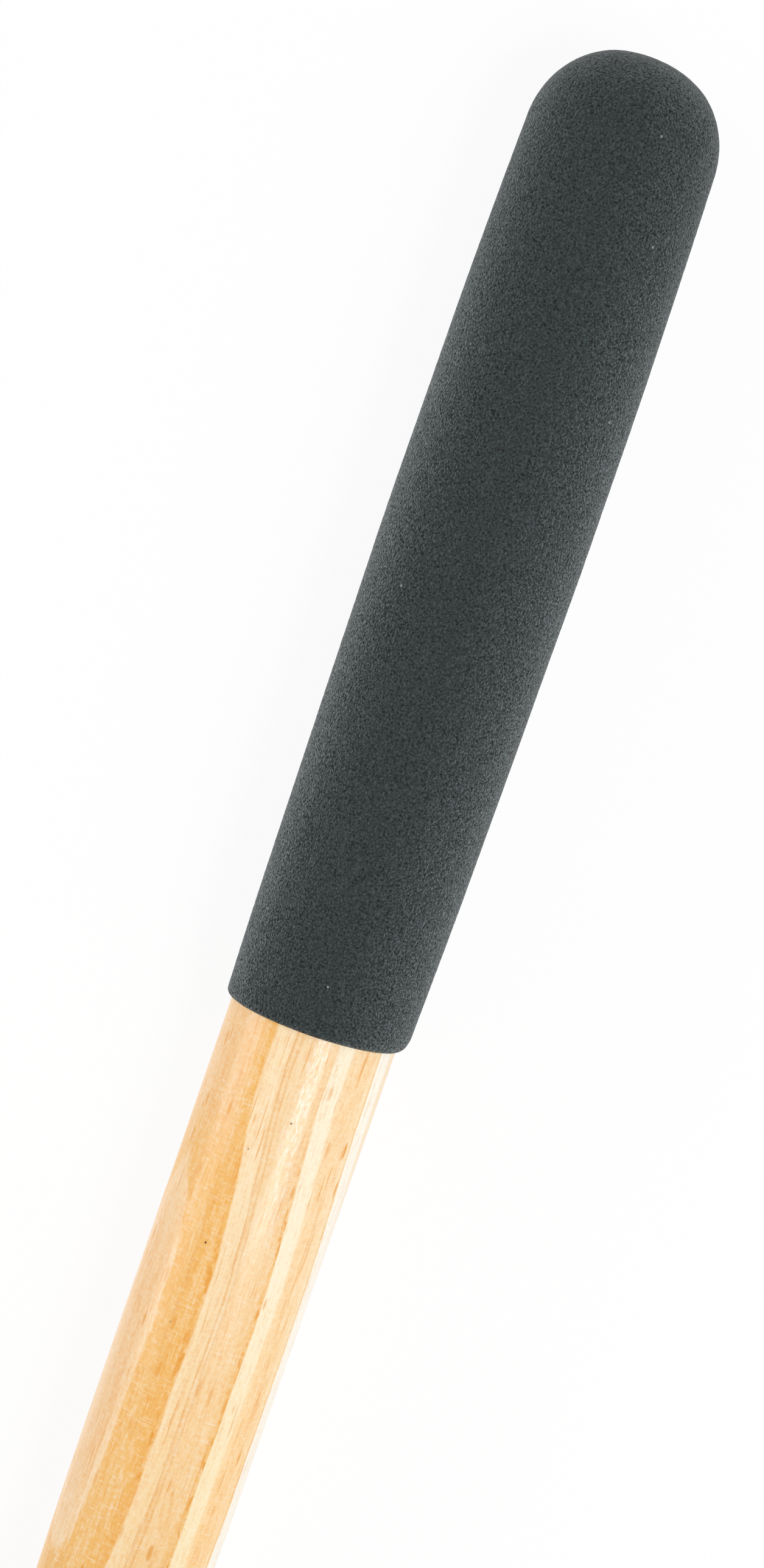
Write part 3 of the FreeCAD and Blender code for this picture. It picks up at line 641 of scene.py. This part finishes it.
def plastic_material(plastic):
    """Moulded plastic with a fine grain, scuffed towards the scraping edge."""
    material, tree = new_material("moulded plastic", IOR=1.49)
    place = object_place(tree, (HEAD_LOW.x, 0, AXIS_HEIGHT))
    grain = effect(tree, "Grained skin", vector=place, size=plastic.grain_size)
    scratches = scratch_mask(tree, place)
    from_edge = add_node(tree, "ShaderNodeSeparateXYZ", {0: place}).outputs["X"]
    ragged = noise_value(tree, place, scale=160.0, detail=4.0)
    ragged = calculate(tree, "ADD", from_edge, spread(tree, ragged, 0.3, 0.7, -0.002, 0.002, smooth=False))
    edge_wear = product(tree, spread(tree, ragged, 0.0045, 0.0), 0.35)
    blade_wear = product(tree, scratches, spread(tree, from_edge, 0.050, 0.006, 0.08, 0.75))
    wear = calculate(tree, "ADD", blade_wear, edge_wear, clamp=True)
    tone = spread(tree, noise_value(tree, place, scale=45.0, detail=3.0), 0.3, 0.7, 0.0, 0.10)
    # On the plastic these light specks are dust.
    dust_and_glints = product(tree, specks(tree, place, 0.0050, 0.00030, 0.25), 0.35)
    worn = plastic.worn_colour
    plastic_colour = layered(tree, plastic.body_colour, (tone, worn), (wear, worn), (dust_and_glints, worn))
    rough = spread(tree, grain["Grains"], 0.0, 1.0, 0.36, 0.44)
    rough = calculate(tree, "ADD", rough, product(tree, wear, 0.18))
    relief = calculate(tree, "SUBTRACT", grain["Height"], product(tree, scratches, 0.5))
    return finish_material(material, plastic_colour, rough, bump(tree, relief, 0.00004))


def bristle_material(bristles):
    """Nylon filaments, paler at their split tips. The meshes carry each strand's tint and length."""
    material, tree = new_material("nylon bristle", IOR=1.53)
    place = object_place(tree, (0, 0, AXIS_HEIGHT))
    tint = add_node(tree, "ShaderNodeAttribute", attribute_name="tint").outputs["Fac"]
    along = add_node(tree, "ShaderNodeAttribute", attribute_name="along").outputs["Fac"]
    flagged = spread(tree, calculate(tree, "ADD", along, product(tree, tint, 0.05)), 0.86, 1.03)
    bands = streaks(tree, place, 0.003, 0.0008)
    paler, banded = spread(tree, tint, 0.4, 1.0, 0.0, 0.35), spread(tree, bands, 0.5, 0.8, 0.0, 0.15)
    tips = bristles.tip_colour
    strand_colour = layered(tree, bristles.body_colour, (flagged, tips), (paler, tips), (banded, tips))
    rough = spread(tree, flagged, 0.0, 1.0, 0.34, 0.62)
    return finish_material(material, strand_colour, rough, bump(tree, bands, 0.00002))


def metal_material(name, metal_colour, roughness, marks_long):
    """Steel with fine marks along the handle."""
    material, tree = new_material(name, Metallic=1.0)
    place = object_place(tree, (0, 0, AXIS_HEIGHT))
    marks = streaks(tree, place, marks_long, 0.0002, detail=3.0)
    dulled = [value * 0.72 for value in metal_colour]
    steel_colour = blend(tree, spread(tree, marks, 0.3, 0.7), dulled, metal_colour)
    rough = spread(tree, marks, 0.3, 0.7, roughness, roughness + 0.14)
    return finish_material(material, steel_colour, rough, bump(tree, marks, 0.00001))


def seen_directly(tree):
    """1 where the camera sees the surface itself, or through a reflection or glass."""
    rays = add_node(tree, "ShaderNodeLightPath").outputs
    seen = calculate(tree, "MAXIMUM", rays["Is Camera Ray"], rays["Is Glossy Ray"])
    return calculate(tree, "MAXIMUM", seen, rays["Is Transmission Ray"])


def floor_material(stage):
    """A white floor that keeps the object's shadow: part of its look is its own glow, the rest is lit."""
    material = bpy.data.materials.new("white floor")
    material.use_nodes = True
    tree = material.node_tree
    tree.nodes.clear()
    place = object_place(tree)
    grain = noise_value(tree, place, scale=900.0, detail=3.0)
    paper = blend(tree, grain, srgb(252, 252, 252), srgb(255, 255, 255))
    lit = add_node(tree, "ShaderNodeBsdfDiffuse", {"Color": paper}).outputs[0]
    glow = add_node(tree, "ShaderNodeEmission", {"Strength": 1.0}).outputs[0]
    far = add_node(tree, "ShaderNodeVectorMath", {0: place}, operation="LENGTH").outputs["Value"]
    share_glowing = spread(tree, far, SHADOWS_FADE, SHADOWS_END, stage.floor_glow, 1.0)
    amount = product(tree, seen_directly(tree), share_glowing)
    look = add_node(tree, "ShaderNodeMixShader", {0: amount, 1: lit, 2: glow}).outputs[0]
    add_node(tree, "ShaderNodeOutputMaterial", {"Surface": look})
    lay_out(tree)
    return material


# Mesh helpers

SHARP_ANGLE = math.radians(32)
MERGE_DISTANCE = 1e-6


def finish_mesh(mesh_data, name, material, sharp_angle=SHARP_ANGLE):
    """Makes an object of a bmesh: normals outwards, smooth but for its sharp edges."""
    bmesh.ops.recalc_face_normals(mesh_data, faces=mesh_data.faces)
    for face in mesh_data.faces:
        face.smooth = True
    for edge in mesh_data.edges:
        edge.smooth = not edge.is_manifold or edge.calc_face_angle() < sharp_angle
    mesh = bpy.data.meshes.new(name)
    mesh_data.to_mesh(mesh)
    mesh_data.free()
    mesh.materials.append(material)
    piece = bpy.data.objects.new(name, mesh)
    bpy.context.scene.collection.objects.link(piece)
    return piece


def arc(centre, radius, start, end, steps):
    """Points on an arc in the outline's plane, from the start angle to the end angle in degrees."""
    turns = [math.radians(start + (end - start) * k / steps) for k in range(steps + 1)]
    return [(centre[0] + radius * math.cos(t), centre[1] + radius * math.sin(t)) for t in turns]


def divided(points, longest):
    """An outline with its long runs divided evenly."""
    finer = [points[0]]
    for (x0, r0), (x1, r1) in zip(points, points[1:]):
        count = max(1, math.ceil(math.dist((x0, r0), (x1, r1)) / longest))
        finer += [(x0 + (x1 - x0) * k / count, r0 + (r1 - r0) * k / count) for k in range(1, count + 1)]
    return finer


def spun(outline, steps):
    """A bmesh of an outline of (x, radius) points, spun about the handle's axis."""
    turned = bmesh.new()
    corners = [turned.verts.new((x, 0, AXIS_HEIGHT + radius)) for x, radius in outline]
    edges = [turned.edges.new(pair) for pair in zip(corners, corners[1:])]
    bmesh.ops.spin(
        turned, geom=corners + edges, cent=(0, 0, AXIS_HEIGHT), axis=(1, 0, 0), angle=2 * math.pi,
        steps=steps, use_merge=True,
    )
    bmesh.ops.remove_doubles(turned, verts=turned.verts, dist=MERGE_DISTANCE)
    return turned


def from_axis(point):
    """The direction from the handle's axis to a point, and the distance."""
    out = Vector((0, point.y, point.z - AXIS_HEIGHT))
    return out.normalized(), out.length


def dress(piece, slot, *nodes):
    """Fits a new piece to the frame: it rides with the body and stands for its CAD nodes."""
    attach(piece, BODY)
    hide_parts(*nodes)


# The wooden handle

SHAFT_SIDES = 96
HOLE_SIDES = 20
TAPER_STEPS = 8
LONGEST_RUN = 0.0025
# How closely the turning marks follow each other along and round the handle.
MARKS_ALONG, MARKS_ROUND = 90, 60


def row_places(row, bristles):
    """Where each tuft of a row leaves the wood, the way they point, and how far below their anchors are."""
    low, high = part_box(f"anchor_row_{row}")
    anchor = Vector((0, (low.y + high.y) / 2, (low.z + high.z) / 2))
    lean = bristles.outer_lean if row in OUTER_ROWS else bristles.inner_lean
    way = Vector((0, math.copysign(math.sin(lean), anchor.y), math.cos(lean)))
    first, last = low.x + ANCHOR_LENGTH / 2, high.x - ANCHOR_LENGTH / 2
    pitch = (last - first) / (TUFTS_IN_ROW - 1)
    wood = bpy.context.scene.snow_brush.wood
    out = Vector((0, anchor.y, anchor.z - AXIS_HEIGHT))
    reach = -out.dot(way) + math.sqrt(out.dot(way) ** 2 - out.length_squared + wood.brush_radius ** 2)
    mouth = anchor + way * reach
    return [Vector((first + pitch * k, mouth.y, mouth.z)) for k in range(TUFTS_IN_ROW)], way, reach


def facing(way):
    """A turn that points Z along a way."""
    return way.to_track_quat("Z", "X").to_matrix().to_4x4()


def drill_bits(wood, bristles):
    """A bmesh of one rod for each bristle hole, from its bottom to just outside the wood."""
    rods = bmesh.new()
    for row in ROWS:
        places, way, reach = row_places(row, bristles)
        depth, outside = reach + ANCHOR_LIFT, wood.hole_radius * 2
        for place in places:
            middle = place + way * (outside - depth) / 2
            bmesh.ops.create_cone(
                rods, cap_ends=True, segments=HOLE_SIDES, radius1=wood.hole_radius,
                radius2=wood.hole_radius, depth=depth + outside,
                matrix=Matrix.Translation(middle) @ facing(way),
            )
    return rods


def shaft_outline(wood):
    """The turned handle, from the tenon's end to the end inside the grip."""
    last_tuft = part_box("anchor_row_2")[1].x - ANCHOR_LENGTH / 2
    middle_radius = (GRIP_WOOD_RADIUS + wood.brush_radius) / 2
    swell = (GRIP_WOOD_RADIUS - wood.brush_radius) / 2
    taper = []
    for k in range(TAPER_STEPS + 1):
        radius = middle_radius - swell * math.cos(math.pi * k / TAPER_STEPS)
        taper.append((last_tuft + wood.taper_length * k / TAPER_STEPS, radius))
    grip_end = WOOD_HIGH.x - wood.end_round
    flat = GRIP_WOOD_RADIUS - wood.end_round
    return [
        (WOOD_LOW.x, 0), (WOOD_LOW.x, wood.tenon_radius - wood.tenon_chamfer),
        (WOOD_LOW.x + wood.tenon_chamfer, wood.tenon_radius), (SHOULDER, wood.tenon_radius),
        (SHOULDER, wood.brush_radius), *taper,
        *arc((grip_end, flat), wood.end_round, 90, 0, 8), (WOOD_HIGH.x, 0),
    ]


class SNOWBRUSH_OT_wooden_handle(Operator):
    """Turns the pine handle, drills its bristle holes and lacquers it"""

    bl_idname = "snow_brush.wooden_handle"
    bl_label = "Wooden Handle"

    def execute(self, context):
        settings = context.scene.snow_brush
        wood = settings.wood
        pine = pine_material(wood)
        shaft = spun(divided(shaft_outline(wood), LONGEST_RUN), SHAFT_SIDES)
        for corner in shaft.verts:
            out, reach = from_axis(corner.co)
            if reach > wood.tenon_radius and corner.co.x < RIM:
                x, y, z = corner.co
                mark = noise.noise((x * MARKS_ALONG, y * MARKS_ROUND, z * MARKS_ROUND))
                corner.co -= out * wood.turning_marks * (1 + mark)
        handle = finish_mesh(shaft, "turned_handle", pine)
        rods = finish_mesh(drill_bits(wood, settings.bristles), "drill_bits", pine)
        drill = handle.modifiers.new("Bristle holes", "BOOLEAN")
        drill.operation, drill.solver, drill.object = "DIFFERENCE", "EXACT", rods
        drilled = bpy.data.meshes.new_from_object(handle.evaluated_get(context.evaluated_depsgraph_get()))
        handle.modifiers.remove(drill)
        bpy.data.objects.remove(rods)
        clean = bmesh.new()
        clean.from_mesh(drilled)
        bpy.data.objects.remove(handle)
        bmesh.ops.remove_doubles(clean, verts=clean.verts, dist=MERGE_DISTANCE)
        handle = finish_mesh(clean, "turned_handle", pine)
        dress(handle, "lacquered_wood", "wooden_handle")
        return {"FINISHED"}


# The foam grip

GRIP_SIDES = 192
DOME_STEPS = 52
SKIN_STEP, BORE_STEP = 0.00046, 0.008
# How many swells of the form, and bumps of the skin, lie in each metre.
SWELLS, BUMPS = 38, 1050
# The middle and half width of the pressed-in part of the dome, in the grip's radii to the right.
SAG_MIDDLE, SAG_REACH = 0.15, 0.55


def grip_radius(foam, place):
    """The grip's outer radius at a distance from its rim."""
    dome_place = TIP - RIM - foam.dome_length
    if place < foam.belly_place:
        fall = (GRIP_BELLY_RADIUS - foam.rim_radius) * (1 - place / foam.belly_place) ** 2
    else:
        share_past = (place - foam.belly_place) / (dome_place - foam.belly_place)
        fall = (GRIP_BELLY_RADIUS - foam.shoulder_radius) * min(share_past, 1.0) ** foam.shoulder_curve
    radius = GRIP_BELLY_RADIUS - fall
    if place > dome_place:
        along = min(1.0, (place - dome_place) / foam.dome_length)
        radius *= (1 - along ** foam.dome_fullness) ** (1 / foam.dome_fullness)
    return radius


def grip_outline(foam):
    """The grip, from the middle of its dome over the skin to the rim, and back through the bore."""
    dome_place = TIP - RIM - foam.dome_length
    quarter = math.radians(90)
    places = [
        dome_place + foam.dome_length * math.cos(quarter * k / DOME_STEPS) for k in range(DOME_STEPS)
    ]
    barrel_steps = round((dome_place - foam.rim_round) / SKIN_STEP)
    places += [dome_place + (foam.rim_round - dome_place) * k / barrel_steps for k in range(barrel_steps)]
    skin = [(RIM + place, grip_radius(foam, place)) for place in places]
    rim_centre = (RIM + foam.rim_round, grip_radius(foam, foam.rim_round) - foam.rim_round)
    end_round = bpy.context.scene.snow_brush.wood.end_round
    bore_radius = GRIP_WOOD_RADIUS + foam.bore_gap
    bore_round = (WOOD_HIGH.x - end_round, GRIP_WOOD_RADIUS - end_round)
    return [
        *skin, *arc(rim_centre, foam.rim_round, 90, 180, 6),
        *divided([(RIM + foam.bore_gap, bore_radius), (bore_round[0], bore_radius)], BORE_STEP),
        *arc(bore_round, end_round + foam.bore_gap, 82, 0, 8), (WOOD_HIGH.x + foam.bore_gap, 0),
    ]


def in_bore(foam, place, reach):
    """Whether a point at a place along X and a distance from the axis is in the bore, under the skin."""
    gap = 2 * foam.bore_gap
    near_wood = place < WOOD_HIGH.x + gap and reach < GRIP_WOOD_RADIUS + gap
    return near_wood and reach < grip_radius(foam, place - RIM) - foam.rim_round


class SNOWBRUSH_OT_foam_grip(Operator):
    """Shapes the foam grip and its grained skin"""

    bl_idname = "snow_brush.foam_grip"
    bl_label = "Foam Grip"

    def execute(self, context):
        foam = context.scene.snow_brush.foam
        grip = spun(grip_outline(foam), GRIP_SIDES)
        middle = Vector((TIP - foam.dome_length, 0, AXIS_HEIGHT))
        for corner in grip.verts:
            out, reach = from_axis(corner.co)
            if in_bore(foam, corner.co.x, reach):
                continue
            side = -corner.co.y / GRIP_BELLY_RADIUS
            worn = max(0.0, side) * max(0.0, 1 - (corner.co.x - RIM) / (3 * foam.rim_round)) ** 2
            corner.co -= out * foam.rim_wear * worn
            if corner.co.x > middle.x:
                out = (corner.co - middle).normalized()
                top = (corner.co.x - middle.x) / foam.dome_length
                pressed = max(0.0, 1 - ((side - SAG_MIDDLE) / SAG_REACH) ** 2)
                corner.co.x -= foam.dome_sag * top ** 2 * pressed
            form = noise.noise(corner.co * SWELLS) * foam.form_unevenness
            skin = noise.noise(corner.co * BUMPS) * foam.skin_unevenness
            corner.co += out * (form + skin) - Vector((0, foam.off_centre, 0))
        piece = finish_mesh(grip, "foam_hand_grip", foam_material(foam), sharp_angle=math.radians(60))
        dress(piece, "grip_foam", "foam_grip")
        return {"FINISHED"}


# The scraper head, its screws and the bristle anchors

# Edges of the mould's mesh that turn less than the first angle are flat, and more than the second sharp.
FLAT_TURN, SHARP_TURN = math.radians(0.6), math.radians(28)


class SNOWBRUSH_OT_scraper_head(Operator):
    """Rounds the moulded scraper's edges and gives it its plastic"""

    bl_idname = "snow_brush.scraper_head"
    bl_label = "Scraper Head"

    def execute(self, context):
        plastic = context.scene.snow_brush.plastic
        mould = bmesh.new()
        mould.from_mesh(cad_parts["scraper_head"].data)
        bmesh.ops.remove_doubles(mould, verts=mould.verts, dist=2 * MERGE_DISTANCE)
        bmesh.ops.dissolve_limit(
            mould, angle_limit=FLAT_TURN, verts=mould.verts, edges=mould.edges, use_dissolve_boundaries=False
        )
        sharp = [e for e in mould.edges if e.is_manifold and e.calc_face_angle() > SHARP_TURN]
        bmesh.ops.bevel(
            mould, geom=sharp, offset=plastic.edge_round, offset_type="OFFSET", segments=2, profile=0.5,
            affect="EDGES", clamp_overlap=True, material=-1,
        )
        piece = finish_mesh(mould, "moulded_scraper", plastic_material(plastic))
        dress(piece, "scraper_plastic", "scraper_head")
        return {"FINISHED"}


def coat_nodes(prefix, material):
    """Gives the CAD nodes whose names start with a prefix their material."""
    for name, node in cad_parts.items():
        if name.startswith(prefix):
            node.material_slots[0].material = material


class SNOWBRUSH_OT_steel_parts(Operator):
    """Plates the two screws and finishes the wire anchors"""

    bl_idname = "snow_brush.steel_parts"
    bl_label = "Steel Parts"

    def execute(self, context):
        metal = context.scene.snow_brush.metal
        plated = metal_material("plated screw steel", metal.screw_colour, roughness=0.26, marks_long=0.0008)
        drawn = metal_material("anchor wire", metal.wire_colour, roughness=0.34, marks_long=0.004)
        coat_nodes("scraper_screw", plated)
        coat_nodes("anchor_row", drawn)
        return {"FINISHED"}


# The bristles

SEED = 19
TUFT_KINDS = 7
STRAND_BENDS = 6
STRAND_SIDES = 4
DEPTH_IN_HOLE = 0.004
# How strands and tufts vary: the tip's share of the radius, the most that a strand falls short, its share
# of the fan, how late it fans out, how far it sways, and how far a tuft strays from its way.
TIP_SHARE = 0.7
MOST_SHORT = 0.05
LEAST_FAN, MOST_FAN = 0.75, 1.18
FAN_CURVE = 1.2
MOST_SWAY = 0.0014
STRAY_ANGLE = math.radians(1.0)


def tuft_mesh(bristles, chance, depth):
    """One tuft standing on the XY plane: strands that fan out, each with its own bend, length and tint."""
    tuft = bmesh.new()
    tint_layer = tuft.verts.layers.float.new("tint")
    along_layer = tuft.verts.layers.float.new("along")
    golden = math.pi * (3 - math.sqrt(5))
    strands = []
    for strand in range(bristles.strands):
        tint = (strand + 0.5) / bristles.strands
        ring, around = bristles.root_radius * math.sqrt(tint), golden * strand
        root = Vector((ring * math.cos(around), ring * math.sin(around), 0))
        height = bristles.strand_length * (1 - MOST_SHORT * chance.random() ** 2)
        made = bmesh.ops.create_cone(
            tuft, cap_ends=True, segments=STRAND_SIDES, radius1=bristles.strand_radius,
            radius2=bristles.strand_radius * TIP_SHARE, depth=height + depth,
            matrix=Matrix.Translation(root + Vector((0, 0, (height - depth) / 2))),
        )
        for corner in made["verts"]:
            corner[tint_layer] = tint
        turn, sway = chance.uniform(0, 2 * math.pi), chance.uniform(0, MOST_SWAY)
        sideways = Vector((math.cos(turn), math.sin(turn), 0)) * sway
        strands.append((root, sideways, chance.uniform(LEAST_FAN, MOST_FAN)))
    for bend in range(1, STRAND_BENDS):
        bmesh.ops.bisect_plane(
            tuft, geom=tuft.verts[:] + tuft.edges[:] + tuft.faces[:], dist=1e-7,
            plane_co=(0, 0, bristles.strand_length * bend / STRAND_BENDS), plane_no=(0, 0, 1),
        )
    fan = bristles.tip_radius / bristles.root_radius - 1
    for corner in tuft.verts:
        strand = min(bristles.strands - 1, int(corner[tint_layer] * bristles.strands))
        root, sway, fan_share = strands[strand]
        along = max(0.0, corner.co.z / bristles.strand_length)
        corner.co += root * fan * fan_share * along ** FAN_CURVE + sway * math.sin(along * math.pi * 0.8)
        corner[along_layer] = along
    mesh = bpy.data.meshes.new("tuft")
    tuft.to_mesh(mesh)
    tuft.free()
    return mesh


class SNOWBRUSH_OT_bristles(Operator):
    """Sets the four rows of bristle tufts in their holes"""

    bl_idname = "snow_brush.bristles"
    bl_label = "Bristles"

    def execute(self, context):
        bristles = context.scene.snow_brush.bristles
        material = bristle_material(bristles)
        chance = random.Random(SEED)
        kinds = [tuft_mesh(bristles, chance, DEPTH_IN_HOLE) for _ in range(TUFT_KINDS)]
        for row in ROWS:
            places, way, _ = row_places(row, bristles)
            strands = bmesh.new()
            for place in places:
                kind = chance.choice(kinds).copy()
                stray_angle = chance.gauss(0, STRAY_ANGLE)
                stray = Matrix.Rotation(stray_angle, 4, (chance.gauss(0, 1), chance.gauss(0, 1), 0.1))
                spin = Matrix.Rotation(chance.uniform(0, 2 * math.pi), 4, "Z")
                kind.transform(Matrix.Translation(place) @ facing(way) @ stray @ spin)
                strands.from_mesh(kind)
                bpy.data.meshes.remove(kind)
            piece = finish_mesh(strands, f"bristles_{row}", material, sharp_angle=math.radians(100))
            dress(piece, "bristle", f"bristle_row_{row}")
        for kind in kinds:
            bpy.data.meshes.remove(kind)
        return {"FINISHED"}


# The stage


def add_lamp(name, power, place, aim, sides):
    """A soft rectangular lamp at a place, turned to its aim. Its first side lies along the handle."""
    lamp = bpy.data.lights.new(name, "AREA")
    lamp.shape, lamp.energy = "RECTANGLE", power
    lamp.size, lamp.size_y = sides
    holder = bpy.data.objects.new(name, lamp)
    holder.location = place
    holder.rotation_mode = "QUATERNION"
    holder.rotation_quaternion = (Vector(aim) - Vector(place)).to_track_quat("-Z", "Y")
    bpy.context.scene.collection.objects.link(holder)


def white_world(stage):
    """White surroundings: plainly white to the eye, weaker as light."""
    world = bpy.data.worlds.new("white surroundings")
    world.use_nodes = True
    tree = world.node_tree
    tree.nodes.clear()
    strength = spread(tree, seen_directly(tree), 0.0, 1.0, stage.sky, 1.0, smooth=False)
    sky = add_node(tree, "ShaderNodeBackground", {"Color": (1, 1, 1, 1), "Strength": strength}).outputs[0]
    add_node(tree, "ShaderNodeOutputWorld", {"Surface": sky})
    lay_out(tree)
    return world


AIM_PAST_RIM = 0.04
SENSOR_WIDTH = 36


class SNOWBRUSH_OT_stage(Operator):
    """Lays the white floor, hangs the soft lamps and sets the camera over the grip"""

    bl_idname = "snow_brush.stage"
    bl_label = "Stage"

    def execute(self, context):
        stage = context.scene.snow_brush.stage
        scene = context.scene
        floor = bmesh.new()
        bmesh.ops.create_grid(floor, x_segments=1, y_segments=1, size=stage.floor_size / 2)
        ground = finish_mesh(floor, "white_floor", floor_material(stage))
        scene.world = white_world(stage)
        aim = Vector((RIM + AIM_PAST_RIM, 0, AXIS_HEIGHT))
        add_lamp("lamp_above", stage.key_power, aim + Vector((-0.08, -0.42, 0.95)), aim, (0.50, 0.32))
        add_lamp("lamp_left", stage.left_power, aim + Vector((0.05, 0.98, 0.24)), aim, (0.9, 0.6))
        add_lamp("lamp_right", stage.right_power, aim + Vector((0.05, -0.74, 0.70)), aim, (0.9, 0.6))

        camera = bpy.data.objects.new("camera", bpy.data.cameras.new("camera"))
        camera.data.lens, camera.data.sensor_width = stage.lens, SENSOR_WIDTH
        level = math.cos(stage.tilt)
        along = Vector((level * math.sin(stage.turn), level * math.cos(stage.turn), math.sin(stage.tilt)))
        up = (Vector((0, 0, 1)) - along * along.z).normalized()
        turned = Matrix((along, up.cross(along), up))
        rim = Vector((RIM, 0, AXIS_HEIGHT))
        place = rim - turned @ Vector(stage.rim_in_view)
        camera.matrix_world = Matrix.Translation(place) @ turned.to_4x4()
        scene.collection.objects.link(camera)
        scene.camera = camera
        scene.view_settings.view_transform = "Standard"
        return {"FINISHED"}


class SNOWBRUSH_PT_panel(Panel):
    """Lists the brush's pieces, each with its button"""

    bl_idname = "SNOWBRUSH_PT_panel"
    bl_label = "Snow Brush Scraper"
    bl_space_type = "VIEW_3D"
    bl_region_type = "UI"
    bl_category = "Snow Brush"

    def draw(self, context):
        settings = context.scene.snow_brush
        for piece, group in PANEL_ROWS:
            self.layout.operator(piece.bl_idname)
            box = self.layout.box()
            for name in getattr(settings, group).__annotations__:
                box.prop(getattr(settings, group), name)


PANEL_ROWS = (
    (SNOWBRUSH_OT_wooden_handle, "wood"),
    (SNOWBRUSH_OT_foam_grip, "foam"),
    (SNOWBRUSH_OT_scraper_head, "plastic"),
    (SNOWBRUSH_OT_steel_parts, "metal"),
    (SNOWBRUSH_OT_bristles, "bristles"),
    (SNOWBRUSH_OT_stage, "stage"),
)
CLASSES = (
    WoodSettings, FoamSettings, PlasticSettings, BristleSettings, MetalSettings, StageSettings,
    SnowBrushSettings, *(piece for piece, _ in PANEL_ROWS), SNOWBRUSH_PT_panel,
)


def register():
    """Registers the classes and adds the settings to the scene."""
    for part in CLASSES:
        bpy.utils.register_class(part)
    bpy.types.Scene.snow_brush = PointerProperty(type=SnowBrushSettings)


def unregister():
    """Takes away what register adds."""
    del bpy.types.Scene.snow_brush
    for part in reversed(CLASSES):
        bpy.utils.unregister_class(part)


def main():
    """Makes the stage and every piece."""
    register()
    bpy.ops.snow_brush.stage()
    bpy.ops.snow_brush.wooden_handle()
    bpy.ops.snow_brush.foam_grip()
    bpy.ops.snow_brush.scraper_head()
    bpy.ops.snow_brush.steel_parts()
    bpy.ops.snow_brush.bristles()


if __name__ == "__main__":
    main()
